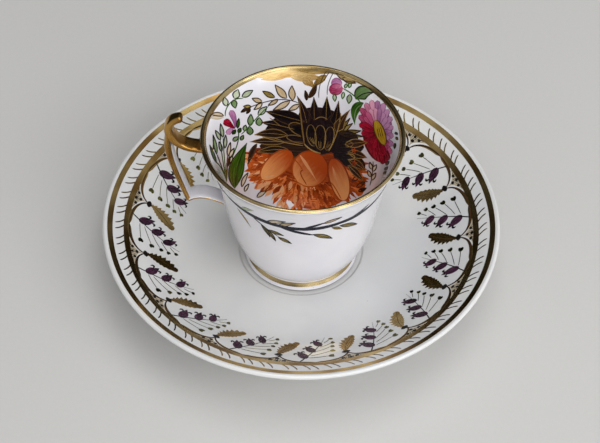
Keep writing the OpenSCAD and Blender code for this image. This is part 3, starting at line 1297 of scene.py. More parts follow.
@dataclass
class Cup:
    """The tall flared cup: its turned body and the gold on its lip and its foot.

    The pulls of a curve are how far its pull points lie from its two ends.
    """

    shop: Workshop
    base_z: float
    rim_r: float
    height: float
    foot_r: float = 20.2
    foot_in_r: float = 17.2
    hollow: float = 2.6
    neck: Point = (18.9, 3.8)
    neck_pull: float = 1.3
    waist: Point = (26.0, 22.6)
    bottom_pulls: tuple[Point, Point] = ((2.7, 2.4), (-1.8, -10.6))
    side_pulls: tuple[Point, Point] = ((2.3, 14.2), (-4.3, -7.4))
    lip_t: float = 1.6
    lip_slope: float = 50.0
    wall_t: float = 2.4
    floor_z: float = 5.8
    floor_reach: Point = (-7.0, 1.4)
    bowl_pull: Point = (1.9, 10.0)
    lip_band_out: float = 0.5
    lip_band_in: float = 1.2
    foot_band: Point = (1.6, 3.1)
    gilt_sink: float = 0.2
    gilt_proud: float = 0.06
    foot_steps: int = 10
    bottom_steps: int = 24
    side_steps: int = 40
    bowl_steps: int = 28
    segments: int = 192
    # Its lowest band is painted dark: the bare foot edge with the contact shadow under it painted in.
    glaze: Glaze = Glaze("cup_glaze", "ebe9ee", "e2e1e8", bare_and_shadow_below=7.3)
    gilt: Gilding = Gilding("cup_gilding", "d2bd8c", "857048")

    def lip_centre(self) -> Point:
        """The centre of the round lip."""
        return (self.rim_r - self.lip_t / 2, self.height - self.lip_t / 2)

    def foot(self) -> Line:
        """The outside of the foot, from near the saucer to the neck."""
        low = [(self.foot_r + 0.2, 0.6), (self.foot_r - 0.5, 1.6)]
        return curve([*low, (self.neck[0], self.neck[1] - self.neck_pull), self.neck], self.foot_steps)

    def side(self) -> Line:
        """Draws the outside of the body.

        Returns:
            Its line, from the waist to the lip.
        """
        slope = math.radians(self.lip_slope)
        centre = self.lip_centre()
        end = (centre[0] + self.lip_t / 2 * math.sin(slope), centre[1] - self.lip_t / 2 * math.cos(slope))
        return pulled(self.waist, end, self.side_pulls, self.side_steps)

    def outside(self) -> Line:
        """The whole outside, rising from the foot over the rounded bottom to the lip."""
        bottom = pulled(self.neck, self.waist, self.bottom_pulls, self.bottom_steps)
        return self.foot() + bottom[1:] + self.side()[1:]

    def inside(self) -> Line:
        """Draws the whole inside.

        Returns:
            Its line, rising from the middle of the floor to the lip.
        """
        side = shifted(self.side(), self.wall_t, self.lip_t)
        top = side[0]
        floor = [(self.neck[0] + reach, self.floor_z) for reach in self.floor_reach]
        pull = (top[0] - self.bowl_pull[0], top[1] - self.bowl_pull[1])
        bowl = curve([*floor, pull, top], self.bowl_steps)
        return [(0.0, self.floor_z)] + bowl[:-1] + side

    def underside(self) -> Line:
        """The hollow under the body and the edge that the foot stands on."""
        inner, outer = self.foot_in_r, self.foot_r
        return [(0.0, self.hollow), (inner - 1.6, self.hollow), (inner - 1.0, self.hollow - 0.5),
                (inner - 0.5, 0.6), (inner, 0.0), (outer - 0.2, 0.0), (outer, 0.1), (outer + 0.15, 0.35)]

    def build(self) -> None:
        """Makes the body and the two gold rings."""
        inside = self.inside()
        lip = round_lip(self.lip_centre(), self.lip_t, self.lip_slope)
        outline = self.underside() + self.outside() + lip[1:] + inside[::-1][1:]
        body = self.shop.turned("cup_shell", outline, self.segments, self.glaze, self.base_z)
        self.shop.hand_over(body, Body.CUP, Slot.PORCELAIN, "cup_body")
        inner = clipped(inside, 1, self.height - self.lip_band_in, inside[-1][1])
        start = math.degrees(math.asin(1 - 2 * self.lip_band_out / self.lip_t))
        crown = arc(self.lip_centre(), self.lip_t / 2, start, 90 + self.lip_slope, LIP_STEPS)
        over_lip = crown[:-1] + inner[::-1]
        round_foot = clipped(self.foot(), 1, *self.foot_band)
        for name, line in (("cup_rim_gilding", over_lip), ("cup_foot_gilding", round_foot)):
            band = ribbon(line, self.gilt_proud, self.gilt_sink)
            ring = self.shop.turned(name + "_ring", band, self.segments, self.gilt, self.base_z)
            self.shop.hand_over(ring, Body.CUP, Slot.GILDING, name)


class WallCanvas(Canvas):
    """The cup's outside, unrolled: distance round the body at one radius, and height."""

    unrolled_r = 29.0
    probe = 0.4

    def __init__(self, cup: Cup) -> None:
        """Keeps the outside's line."""
        self.line = cup.outside()
        self.base_z = cup.base_z

    def place(self, across: float, up: float) -> tuple[Vector, Vector]:
        """Carries a point of the unrolled outside to the cup.

        Args:
            across: Its distance round the body from the front.
            up: Its height.

        Returns:
            The point of the outside, and the normal there.
        """
        turn = across / self.unrolled_r
        low, radius, high = (value_on(self.line, 1, up + away) for away in (-self.probe, 0.0, self.probe))
        way = Vector((math.sin(turn), -math.cos(turn), 0.0))
        normal = (way * (2 * self.probe) - Vector((0.0, 0.0, high - low))).normalized()
        return way * radius + Vector((0.0, 0.0, up + self.base_z)), normal


@dataclass
class CupGarland:
    """The leafy ring round the outside of the cup, painted once and repeated.

    Places are an angle from the front, in degrees, and a height.
    """

    shop: Workshop
    cup: Cup
    painter: Painter = field(init=False)
    repeats: int = 3
    seed: int = 77

    def at(self, angle: float, height: float) -> Point:
        """A place on the unrolled outside."""
        return (math.radians(angle) * WallCanvas.unrolled_r, height)

    def build(self) -> None:
        """Paints one stretch and repeats it."""
        self.painter = Painter(WallCanvas(self.cup), self.seed)
        self.stems()
        self.leaves()
        self.painter.ring_of_films("garland", self.shop, Body.CUP, self.repeats)

    def stems(self) -> None:
        """Paints the sweeping dark blue stems."""
        painter = self.painter
        at = self.at
        for width, path in (
            (2.0, (at(-58, 47.6), at(-42, 46.6), at(-26, 46.2), at(-8, 44.4), at(10, 45.6))),
            (1.9, (at(-24, 45.8), at(-6, 44.6), at(12, 44.4), at(28, 45.6), at(46, 46.4))),
            (1.4, (at(22, 44.9), at(36, 44.8), at(50, 45.4), at(66, 47.6))),
            (1.0, (at(28, 45.2), at(38, 46.4), at(46, 48.6))),
            (1.4, (at(-14, 44.8), at(-4, 43.2), at(8.5, 40.7))),
            (1.2, (at(1, 45.4), at(8, 46.6), at(14, 48.3))),
        ):
            painter.stroke(Paint.NAVY, Brush.SWELL, width, *path, layer=4)
        painter.stroke(Paint.INK, Brush.TAPER, 0.6, at(-32, 45.6), at(-22, 40.4), at(-9, 36.0), layer=3)

    def leaves(self) -> None:
        """Paints the slender leaves along the stems."""
        painter = self.painter
        at = self.at
        for paint, line, width, base, tip in (
            (Paint.OLIVE, None, 1.1, at(-46, 44.6), at(-36.5, 37.2)),
            (Paint.SAGE, None, 1.8, at(-41, 47.2), at(-29.5, 50.8)),
            (Paint.OLIVE, Paint.INK, 1.4, at(-27, 43.0), at(-21.5, 36.4)),
            (Paint.OLIVE, Paint.INK, 1.6, at(-24, 41.0), at(-17.5, 34.8)),
            (Paint.OLIVE, Paint.INK, 1.6, at(-22.5, 40.6), at(-11.6, 39.4)),
            (Paint.OLIVE, Paint.INK, 1.6, at(-15.5, 37.8), at(-6.4, 35.0)),
            (Paint.TAN, Paint.INK, 1.8, at(-22.4, 46.2), at(-9.4, 49.3)),
            (Paint.TAN, Paint.INK, 1.8, at(-14.6, 45.4), at(-3.4, 49.0)),
            (Paint.OLIVE, Paint.INK, 1.9, at(7.6, 41.2), at(21.5, 36.2)),
            (Paint.TAN, Paint.INK, 1.6, at(13.2, 47.7), at(25.2, 49.3)),
            (Paint.OLIVE, None, 1.6, at(19.5, 44.0), at(28.4, 40.2)),
            (Paint.OLIVE, Paint.INK, 1.9, at(25.4, 43.4), at(40.6, 38.6)),
        ):
            painter.leaf(paint, line, width, base, tip, bend=0.06, rib=True)


# The painted inside of the cup

class BowlCanvas(Canvas):
    """The cup's inside, as it is seen over the rim from one side.

    The flat canvas stands across the view at the middle of the mouth, and each of its points is
    carried along the line of sight to the inside wall.
    """

    turns = 180
    walls_met = 3
    step_past = 0.05

    def __init__(self, cup: Cup, eye: Vector, view: Matrix) -> None:
        """Keeps the view and a fine mesh of the inside.

        Args:
            cup: The cup.
            eye: Where it is seen from.
            view: The view's turn: its columns are right, up and backwards.
        """
        right, up, back = (column.copy() for column in view.col)
        ahead = -back
        self.eye, self.right, self.up = eye, right, up
        self.line = cup.inside()
        self.normals = left_normals(self.line)
        self.base_z = cup.base_z
        centre = Vector((0.0, 0.0, cup.base_z + cup.height))
        away = Vector((ahead.x, ahead.y, 0.0)).normalized() * cup.rim_r
        depth = (centre - eye).dot(ahead)
        seen = [(p - eye).dot(up) * depth / (p - eye).dot(ahead) for p in (centre - away, centre + away)]
        self.mouth = centre + up * (sum(seen) / 2 - (centre - eye).dot(up))
        self.wall = self.wall_mesh()

    def wall_mesh(self) -> BVHTree:
        """Makes the inside as a mesh that lines of sight meet.

        Returns:
            The mesh's search tree.
        """
        verts, faces = [], []
        rows = len(self.line)
        for k in range(self.turns):
            turn = math.tau * k / self.turns
            verts += [Vector((r * math.cos(turn), r * math.sin(turn), z + self.base_z)) for r, z in self.line]
            a, b = k * rows, (k + 1) % self.turns * rows
            faces += [(a + i, b + i, b + i + 1, a + i + 1) for i in range(1, rows - 1)]
            faces.append((a, b + 1, a + 1))
        return BVHTree.FromPolygons(verts, faces)

    def place(self, across: float, up: float) -> tuple[Vector, Vector]:
        """Finds what is seen at a point of the canvas.

        Args:
            across: Its place right of the middle of the mouth.
            up: Its place above it.

        Returns:
            The point of the inside, and the normal there.
        """
        spot = self.mouth + self.right * across + self.up * up
        sight = (spot - self.eye).normalized()
        hits = []
        start = self.eye.copy()
        for _ in range(self.walls_met):
            hit, _, _, _ = self.wall.ray_cast(start, sight)
            if hit is None:
                break
            hits.append(hit)
            start = hit + sight * self.step_past
        point = hits[-1] if hits else self.wall.find_nearest(spot)[0]
        return self.settle(point)

    def settle(self, point: Vector) -> tuple[Vector, Vector]:
        """Brings a point of the mesh onto the true inside.

        Args:
            point: The point.

        Returns:
            The point of the inside, and the normal towards the axis.
        """
        radius = math.hypot(point.x, point.y)
        here = Vector((radius, point.z - self.base_z))
        best = min(range(len(self.line) - 1), key=lambda i: (self.nearest(i, here)[1] - here).length)
        t, spot = self.nearest(best, here)
        side = self.normals[best].lerp(self.normals[best + 1], t).normalized()
        way = Vector((point.x, point.y, 0.0)) / max(radius, 0.001)
        return (way * spot.x + Vector((0.0, 0.0, spot.y + self.base_z)),
                way * side.x + Vector((0.0, 0.0, side.y)))

    def nearest(self, i: int, here: Vector) -> tuple[float, Vector]:
        """Finds the nearest point of one short piece of the inside's line.

        Args:
            i: The number of the piece.
            here: A radius and a height.

        Returns:
            The share of the piece, and the point there.
        """
        a, b = Vector(self.line[i]), Vector(self.line[i + 1])
        t = max(0.0, min(1.0, (here - a).dot(b - a) / (b - a).length_squared))
        return t, a.lerp(b, t)


@dataclass
class BowlPainting:
    """The flowers, leaves and fruit inside the cup.

    Places are millimetres right of and above the middle of the mouth, as the camera sees it.
    """

    shop: Workshop
    cup: Cup
    studio: "Studio"
    painter: Painter = field(init=False)
    seed: int = 5
    flame_strokes: int = 240
    flame_step: float = 0.618
    flame_arc: float = 168.0
    flame_centre: Point = (0.6, -6.2)
    flame_reach: Point = (18.8, 18.4)
    daisy_tints: tuple[tuple[float, Paint], ...] = (
        (12, Paint.PINK), (122, Paint.MAUVE), (150, Paint.ROSE), (302, Paint.CRIMSON), (336, Paint.ROSE),
        (400, Paint.PINK))

    def build(self) -> None:
        """Paints the wall that the camera faces, then the wall near the camera."""
        far_parts = (self.gold_panel, self.grasses, self.left_sprigs, self.left_bud, self.branch, self.plume,
                     self.fruit, self.flames, self.rose_bud, self.daisy, self.right_sprigs)
        for name, azimuth, parts in (("bowl", 0.0, far_parts), ("bowl_near", 180.0, (self.near_wall,))):
            canvas = self.studio.bowl_canvas(self.cup, azimuth)
            self.painter = Painter(canvas, self.seed, wobble=0.06, piece_length=0.5)
            for part in parts:
                part()
            for paint, film in self.painter.films(name, self.shop):
                self.shop.hand_over(film, Body.CUP, paint.slot())

    def gold_panel(self) -> None:
        """Paints the gold panel under the far lip, its ragged tongues and the lines beside it.

        The panel is thin gold, paler at its left, and part of that paleness is a painted reflection.
        """
        painter = self.painter
        # Pale gold at the left and deeper gold at the right: thin gold, with a painted reflection in its
        # paleness.
        for paint, width, path in (
            (Paint.PALE_GOLD, 3.4, ((-15.4, 20.2), (-8.0, 22.2), (0.0, 22.8), (9.6, 21.4))),
            (Paint.PALE_GOLD, 2.2, ((-14.0, 19.6), (-8.0, 20.6), (-3.0, 21.0))),
            (Paint.PALE_GOLD, 3.2, ((-4.6, 20.6), (0.0, 20.4), (7.4, 20.0))),
            (Paint.PALE_GOLD, 3.0, ((-1.0, 19.8), (2.0, 19.6), (3.6, 16.6))),
            (Paint.GOLD, 2.4, ((7.8, 21.0), (5.6, 19.6), (3.0, 16.5))),
            (Paint.GOLD, 1.8, ((-2.0, 22.6), (4.0, 22.6), (9.4, 21.6))),
        ):
            painter.stroke(paint, Brush.LEAF, width, *path, layer=1)
        for path in (((8.1, 22.7), (5.0, 18.6), (5.2, 13.4)), ((9.2, 22.4), (7.6, 20.4), (7.2, 19.0)),
                     ((10.4, 22.2), (7.8, 18.4), (8.0, 14.4))):
            painter.line(Paint.BROWN, 0.24, *path)
        for base, tip, width in (((10.9, 21.9), (17.2, 18.5), 2.7), ((13.2, 20.0), (17.6, 18.2), 2.0)):
            painter.leaf(Paint.LEAF_GOLD, Paint.BROWN, width, base, tip, bend=0.08)
        # Painted highlight: a pale gold line along the upper gold leaf.
        painter.line(Paint.PALE_GOLD, 0.4, (12.0, 21.5), (15.0, 20.2), layer=5)

    def grasses(self) -> None:
        """Paints the blades, the ferns and the broad leaf at the left."""
        painter = self.painter
        for paint, base, tip, width in (
            (Paint.SAGE, (-26.6, 0.1), (-27.5, 4.9), 1.2), (Paint.SAGE, (-27.6, -0.7), (-29.2, 2.7), 1.2),
            (Paint.GREEN, (-28.7, -5.4), (-30.1, 1.2), 1.0),
            (Paint.DARK_GREEN, (-29.0, -8.1), (-31.1, -2.2), 0.8),
            (Paint.SAGE, (-26.2, -3.4), (-25.7, 1.2), 1.1), (Paint.SAGE, (-27.2, -4.6), (-28.0, -1.0), 1.0),
            (Paint.TAN, (-25.1, -5.9), (-24.2, -1.2), 1.1), (Paint.TAN, (-24.6, -6.4), (-22.9, -3.2), 1.1),
            (Paint.TAN, (-24.9, -8.6), (-23.3, -5.9), 1.0), (Paint.UMBER, (-25.3, -9.6), (-24.4, -6.2), 0.8),
        ):
            painter.leaf(paint, Paint.INK, width, base, tip)
        for paint, top in ((Paint.DARK_GREEN, (-26.6, 0.4)), (Paint.DARK_GREEN, (-27.6, -0.6)),
                           (Paint.INK, (-28.7, -5.2)), (Paint.DARK_GREEN, (-29.0, -8.0)),
                           (Paint.UMBER, (-25.1, -5.6)), (Paint.UMBER, (-24.6, -6.2))):
            painter.line(paint, 0.3, top, (top[0] * 0.5 - 13.0, -8.5), (-25.4, -14.4))
        blade = ((-22.8, -16.8), (-23.4, -10.0), (-18.7, -1.6))
        painter.outline(Paint.INK, 0.25, painter.stroke(Paint.DARK_GREEN, Brush.LEAF, 4.9, *blade, layer=3))
        painter.line(Paint.INK, 0.2, (-22.7, -15.8), (-22.5, -10.0), (-19.1, -2.8), layer=5)
        for base, tip, width in (((-20.4, -16.3), (-18.4, -11.4), 1.2), ((-19.5, -17.8), (-18.0, -15.2), 1.0),
                                 ((-15.4, -19.8), (-12.2, -17.5), 1.3)):
            painter.leaf(Paint.TAN, Paint.BROWN, width, base, tip, bend=0.1)

    def left_sprigs(self) -> None:
        """Paints the small round-leaved sprigs at the left."""
        painter = self.painter
        for path in (((-19.9, 13.2), (-23.4, 13.6), (-26.2, 10.4), (-25.9, 7.3)),
                     ((-11.4, 10.7), (-15.8, 7.0), (-18.4, 3.0), (-20.6, 1.2)),
                     ((-21.7, 2.6), (-20.9, -0.6), (-22.6, -3.8), (-23.4, -6.2))):
            painter.line(Paint.DARK_GREEN, 0.32, *path)
        for paint, width, base, tip in (
            (Paint.SAGE, 1.8, (-20.4, 13.8), (-16.6, 16.0)), (Paint.SAGE, 2.3, (-22.8, 13.1), (-21.6, 16.2)),
            (Paint.GREEN, 1.9, (-23.3, 12.8), (-22.5, 10.0)), (Paint.SAGE, 1.8, (-25.5, 10.6), (-26.3, 13.7)),
            (Paint.SAGE, 1.9, (-15.0, 7.7), (-11.9, 10.6)), (Paint.GREEN, 1.9, (-17.6, 4.1), (-17.4, 8.2)),
            (Paint.GREEN, 2.2, (-14.8, 4.1), (-14.6, 7.0)), (Paint.GREEN, 2.2, (-17.7, 1.0), (-17.7, 4.0)),
            (Paint.GREEN, 1.3, (-19.7, 2.4), (-19.0, 4.5)), (Paint.GREEN, 1.3, (-23.4, -1.0), (-21.4, 0.5)),
            (Paint.GREEN, 1.1, (-20.7, -0.7), (-19.8, 1.0)),
            (Paint.DARK_GREEN, 1.0, (-21.9, 3.2), (-21.4, 6.6)),
            (Paint.DARK_GREEN, 1.1, (-21.6, 1.8), (-20.7, 3.5)),
            (Paint.DARK_GREEN, 1.1, (-23.6, 1.3), (-22.4, 2.9)),
        ):
            painter.leaf(paint, Paint.INK, width, base, tip)

    def left_bud(self) -> None:
        """Paints the mauve and crimson bud and its tan leaves."""
        painter = self.painter
        painter.leaf(Paint.TAN, None, 1.5, (-26.4, 7.0), (-31.3, 6.6), bend=-0.08)
        painter.leaf(Paint.TAN, Paint.BROWN, 1.2, (-26.4, 7.4), (-31.0, 7.9), bend=-0.14)
        painter.stroke(Paint.MAUVE, Brush.PETAL, 2.6, (-22.6, 3.2), (-22.4, 6.4), (-24.3, 9.3), layer=2)
        painter.stroke(Paint.MAUVE, Brush.PETAL, 2.3, (-22.9, 3.6), (-24.2, 3.0), (-25.4, 1.2), layer=2)
        painter.stroke(Paint.CRIMSON, Brush.PETAL, 3.1, (-22.7, 3.2), (-24.4, 4.6), (-26.4, 5.9), layer=3)

    def branch(self) -> None:
        """Paints the brown branch of outlined leaves behind the plume."""
        painter = self.painter
        painter.line(Paint.BROWN, 0.28, (-1.0, 11.4), (-6.0, 14.2), (-13.0, 12.6), (-20.6, 9.0))
        for paint, width, base, tip in (
            (Paint.OLIVE, 1.6, (-9.5, 13.6), (-13.5, 15.8)), (Paint.TAN, 1.5, (-13.6, 12.3), (-17.1, 13.3)),
            (Paint.OLIVE, 1.2, (-17.1, 10.4), (-19.9, 10.6)), (Paint.TAN, 2.3, (-5.4, 13.2), (-9.2, 17.8)),
            (Paint.TAN, 2.2, (-3.3, 12.6), (-3.6, 17.6)), (Paint.TAN, 1.2, (-8.2, 13.0), (-11.8, 10.9)),
            (Paint.TAN, 1.3, (-13.6, 11.9), (-16.5, 9.4)), (Paint.TAN, 1.8, (-4.3, 12.4), (-10.0, 9.4)),
            (Paint.TAN, 1.5, (-1.1, 11.2), (-4.9, 9.4)), (Paint.UMBER, 0.9, (-18.6, 10.0), (-20.8, 8.7)),
            (Paint.UMBER, 0.9, (-17.6, 9.9), (-18.9, 8.1)),
        ):
            painter.leaf(paint, Paint.BROWN, width, base, tip, bend=0.06)

    def plume(self) -> None:
        """Paints the dark plume: its crown, its two wings and the gold that edges them."""
        painter = self.painter
        for paint, layer, width, base, pull, tip in (
            (Paint.AUBERGINE, 2, 8.6, (3.0, -1.4), (-5.0, 3.4), (-12.6, 1.4)),
            (Paint.UMBER, 2, 5.6, (9.0, -3.8), (-3.0, -4.2), (-14.4, -2.6)),
            (Paint.AUBERGINE, 3, 6.8, (1.5, 1.8), (-4.2, 5.4), (-10.6, 4.6)),
            (Paint.AUBERGINE, 3, 13.4, (6.2, -5.4), (6.4, 2.0), (6.2, 8.6)),
            (Paint.AUBERGINE, 3, 6.4, (-1.6, 7.6), (5.0, 7.4), (13.4, 5.8)),
            (Paint.AUBERGINE, 3, 5.6, (8.4, -3.4), (14.0, -2.4), (20.4, -3.0)),
            (Paint.AUBERGINE, 2, 4.4, (9.0, 0.6), (14.0, 0.6), (18.4, -0.2)),
            (Paint.AUBERGINE, 2, 5.0, (10.0, -5.4), (16.0, -6.6), (20.6, -10.0)),
        ):
            painter.stroke(paint, Brush.OVAL, width, base, pull, tip, layer=layer)
        for paint, brush, width, base, pull, tip in (
            (Paint.AUBERGINE, Brush.LEAF, 4.4, (0.6, 5.4), (-5.4, 7.0), (-12.6, 9.0)),
            (Paint.AUBERGINE, Brush.LEAF, 2.8, (-3.0, 3.0), (-9.0, 4.8), (-13.9, 5.2)),
            (Paint.UMBER, Brush.LEAF, 3.0, (-5.0, 1.0), (-11.0, 2.2), (-16.2, 1.2)),
            (Paint.UMBER, Brush.LEAF, 2.4, (-6.0, -1.4), (-12.0, -0.6), (-17.7, -1.2)),
            (Paint.UMBER, Brush.LEAF, 2.4, (-5.0, -3.6), (-11.0, -3.6), (-15.4, -4.6)),
            (Paint.AUBERGINE, Brush.SPIKE, 5.0, (1.2, 5.0), (0.4, 10.0), (-2.1, 14.2)),
            (Paint.AUBERGINE, Brush.SPIKE, 5.4, (3.8, 6.0), (3.8, 10.0), (3.5, 13.8)),
            (Paint.AUBERGINE, Brush.SPIKE, 5.4, (7.6, 6.0), (7.8, 10.0), (8.1, 14.0)),
            (Paint.AUBERGINE, Brush.SPIKE, 5.0, (10.6, 4.0), (11.4, 8.0), (11.9, 12.4)),
            (Paint.UMBER, Brush.SPIKE, 5.0, (11.2, 2.0), (12.6, 6.2), (15.7, 9.6)),
            (Paint.UMBER, Brush.LEAF, 2.8, (14.0, -2.0), (18.0, -1.4), (21.6, -1.4)),
            (Paint.UMBER, Brush.LEAF, 2.6, (15.0, -4.6), (18.6, -5.4), (21.4, -6.6)),
            (Paint.UMBER, Brush.LEAF, 2.4, (15.0, -7.0), (18.6, -8.6), (20.9, -11.0)),
            (Paint.UMBER, Brush.LEAF, 2.2, (15.0, -9.0), (18.0, -11.4), (20.2, -14.4)),
        ):
            shape = painter.stroke(paint, brush, width, base, pull, tip, layer=4)
            painter.outline(Paint.GOLD if paint is Paint.UMBER else Paint.BROWN, 0.2, shape)
            painter.line(Paint.GOLD, 0.14, base, pull, tip, layer=5)
        for tip, width in (((19.5, 2.4), 1.7), ((16.6, 5.0), 1.4), ((20.4, 0.6), 1.2), ((15.7, 6.9), 1.1)):
            painter.leaf(Paint.OLIVE, Paint.UMBER, width, (12.0, 1.4), tip)
        for middle, low, high, width in ((2.4, -2.6, 4.6, 3.0), (5.7, -4.0, 4.4, 3.6), (9.2, -4.0, 3.8, 3.0)):
            root = middle * 0.6 + 2.4
            path = ((root, low), (middle, 1.0), (middle, high))
            eye = painter.stroke(Paint.AUBERGINE, Brush.OVAL, width, *path, layer=5)
            painter.outline(Paint.GOLD, 0.24, eye)
            for shift in (-0.6, 0.0, 0.6):
                ray = ((root + shift * 0.4, low + 0.6), (middle + shift, low + 3.0))
                painter.line(Paint.GOLD, 0.14, *ray, layer=6)
        for width, path in (
            (0.45, ((-1.2, 12.6), (-0.8, 6.0), (0.4, -1.8))),
            (0.4, ((0.4, -1.8), (2.6, -4.4), (6.0, -5.0))),
            (0.4, ((12.6, 8.4), (12.4, 2.6), (8.6, -4.4))),
            (0.28, ((-0.6, 4.6), (-4.8, 6.6), (-7.2, 3.4), (-0.8, 0.8))),
            (0.28, ((-0.6, 0.6), (-6.6, 2.2), (-7.6, -0.6), (0.0, -1.8))),
            (0.26, ((0.0, -2.4), (-7.0, -1.4), (-13.6, 0.4))),
            (0.26, ((-7.4, 4.0), (-9.4, 5.6), (-11.0, 6.8))),
            (0.26, ((14.4, -1.0), (18.0, -1.0), (17.0, -3.2), (14.2, -2.8))),
            (0.26, ((14.6, -5.2), (18.4, -5.0), (18.0, -7.6), (15.0, -7.0))),
            (0.24, ((4.0, 6.2), (6.0, 8.0), (8.2, 6.2))),
        ):
            painter.line(Paint.GOLD, width, *path, layer=6)
        for middle in ((17.1, -4.1), (17.1, -8.2)):
            for tip in arc(middle, 1.1, 0, 360, 5)[:-1]:
                painter.leaf(Paint.RUST, None, 0.5, middle, tip, layer=7)
        for base, tip, width in (((1.8, 13.4), (4.7, 18.0), 1.6), ((1.2, 12.6), (0.6, 16.0), 1.1),
                                 ((-15.4, -1.8), (-18.3, -8.6), 1.5)):
            painter.leaf(Paint.UMBER, Paint.BROWN, width, base, tip, bend=-0.1)

    def fruit(self) -> None:
        """Paints the three orange fruits, deep at the stalk and pale at the other end, with their seams."""
        painter = self.painter
        for width, base, pull, tip in (
            (6.9, (-4.0, -4.4), (-8.4, -8.4), (-13.9, -13.6)),
            (6.4, (9.6, -6.8), (12.6, -13.4), (13.8, -20.9)),
            (11.9, (6.6, -5.9), (2.4, -10.2), (-1.9, -14.5)),
        ):
            shape = painter.stroke(Paint.ORANGE, Brush.OVAL, width, base, pull, tip, layer=4)
            painter.outline(Paint.RUST, 0.42, shape)
        for width, base, pull, tip in ((1.0, (-1.3, -5.2), (1.2, -8.6), (4.6, -14.2)),
                                       (0.9, (-9.6, -12.4), (-11.6, -13.2), (-13.4, -13.0)),
                                       (0.9, (10.0, -9.4), (10.8, -13.4), (13.0, -18.6))):
            painter.stroke(Paint.PEACH, Brush.LEAF, width, base, pull, tip, layer=5)
        for path in (((-3.2, -6.8), (-1.4, -8.2), (-0.1, -10.5)),
                     ((-0.1, -10.5), (-1.9, -11.4), (0.2, -13.4), (1.1, -15.4)),
                     ((8.5, -14.1), (10.4, -15.2), (11.4, -17.6), (12.8, -20.3))):
            painter.line(Paint.RUST, 0.34, *path, layer=6)

    def flames(self) -> None:
        """Paints the feathery orange and rust ground round the fruit."""
        painter = self.painter
        for paint, width, base, pull, tip in (
            (Paint.FLAME, 6.0, (-16.8, -3.4), (-16.6, -11.0), (-9.4, -16.6)),
            (Paint.FLAME, 8.6, (-12.0, -12.6), (0.0, -20.6), (15.0, -18.4)),
            (Paint.RUST, 8.0, (8.0, -8.0), (16.4, -9.6), (17.6, -17.0)),
            (Paint.RUST, 8.0, (-16.6, -4.0), (-6.0, -11.0), (12.0, -14.0)),
            (Paint.RUST, 6.0, (-16.0, -4.4), (0.0, -5.6), (13.0, -6.6)),
            (Paint.RUST, 4.4, (-4.0, -20.6), (4.0, -22.8), (13.6, -19.8)),
            (Paint.FLAME, 4.0, (-16.4, -11.0), (-8.0, -18.0), (3.0, -21.4)),
            (Paint.FLAME, 4.2, (16.2, -10.4), (19.6, -14.0), (18.4, -19.4)),
        ):
            painter.stroke(paint, Brush.OVAL, width, base, pull, tip, layer=1)
        hand = random.Random(self.seed + 20)
        shaded = (Paint.RUST, Paint.RUST, Paint.RUST, Paint.FLAME, Paint.RUST, Paint.RUST)
        plain = (Paint.RUST, Paint.FLAME, Paint.RUST, Paint.PEACH, Paint.RUST, Paint.FLAME)
        lit = (Paint.RUST, Paint.FLAME, Paint.PEACH, Paint.PEACH, Paint.RUST, Paint.RUST)
        centre = Vector(self.flame_centre)
        wide, high = self.flame_reach
        for k in range(self.flame_strokes):
            turn = math.radians(180 + self.flame_arc * (k * self.flame_step % 1.0) + hand.uniform(-5, 5))
            c, s = math.cos(turn), math.sin(turn)
            near = hand.uniform(0.5, 0.98)
            far = near + hand.uniform(0.14, 0.26)
            way = Vector(((wide + 2.2 * max(0.0, c)) * c, (high + 3.4 * min(0.0, c)) * s))
            base = centre + way * near
            tip = centre + way * min(far, 1.12)
            side = Vector((-way.y, way.x)).normalized() * hand.uniform(-1.3, 1.3)
            tints = shaded if c > 0.25 else lit if c < -0.3 else plain
            path = (tuple(base), tuple((base + tip) / 2 + side), tuple(tip + side))
            painter.stroke(tints[k % len(tints)], Brush.LEAF, hand.uniform(0.7, 1.7), *path, layer=2)

    def rose_bud(self) -> None:
        """Paints the pink bud at the upper right, with its leaves and drops."""
        painter = self.painter
        painter.line(Paint.DARK_GREEN, 0.36, (13.4, 16.6), (16.4, 15.0), (19.2, 11.9))
        painter.stroke(Paint.MAUVE, Brush.OVAL, 3.5, (9.6, 19.5), (12.8, 17.2), layer=2)
        painter.stroke(Paint.ROSE, Brush.OVAL, 4.0, (8.7, 16.1), (13.4, 16.6), layer=3)
        painter.stroke(Paint.PINK, Brush.OVAL, 1.8, (9.6, 17.3), (12.8, 17.2), layer=4)
        leaf = ((17.6, 13.0), (19.6, 16.4), (23.8, 15.2))
        painter.outline(Paint.INK, 0.34, painter.stroke(Paint.GREEN, Brush.LEAF, 4.6, *leaf, layer=2))
        painter.line(Paint.INK, 0.36, (17.9, 13.2), (20.0, 15.4), (23.4, 15.2), layer=4)
        painter.stroke(Paint.DARK_GREEN, Brush.LEAF, 3.0, (20.2, 11.7), (16.2, 11.0), (17.3, 4.4), layer=2)
        painter.line(Paint.GREEN, 0.3, (19.6, 11.2), (16.8, 10.0), (17.4, 6.0), layer=4)
        for base, tip, width in (((14.6, 18.2), (14.0, 16.6), 0.9), ((15.9, 18.4), (15.3, 16.6), 1.0),
                                 ((13.4, 15.4), (13.2, 13.0), 1.0), ((10.4, 14.8), (10.6, 12.2), 1.2),
                                 ((15.6, 14.6), (15.3, 11.4), 1.7)):
            painter.leaf(Paint.SAGE, Paint.DARK_GREEN, width, base, tip)

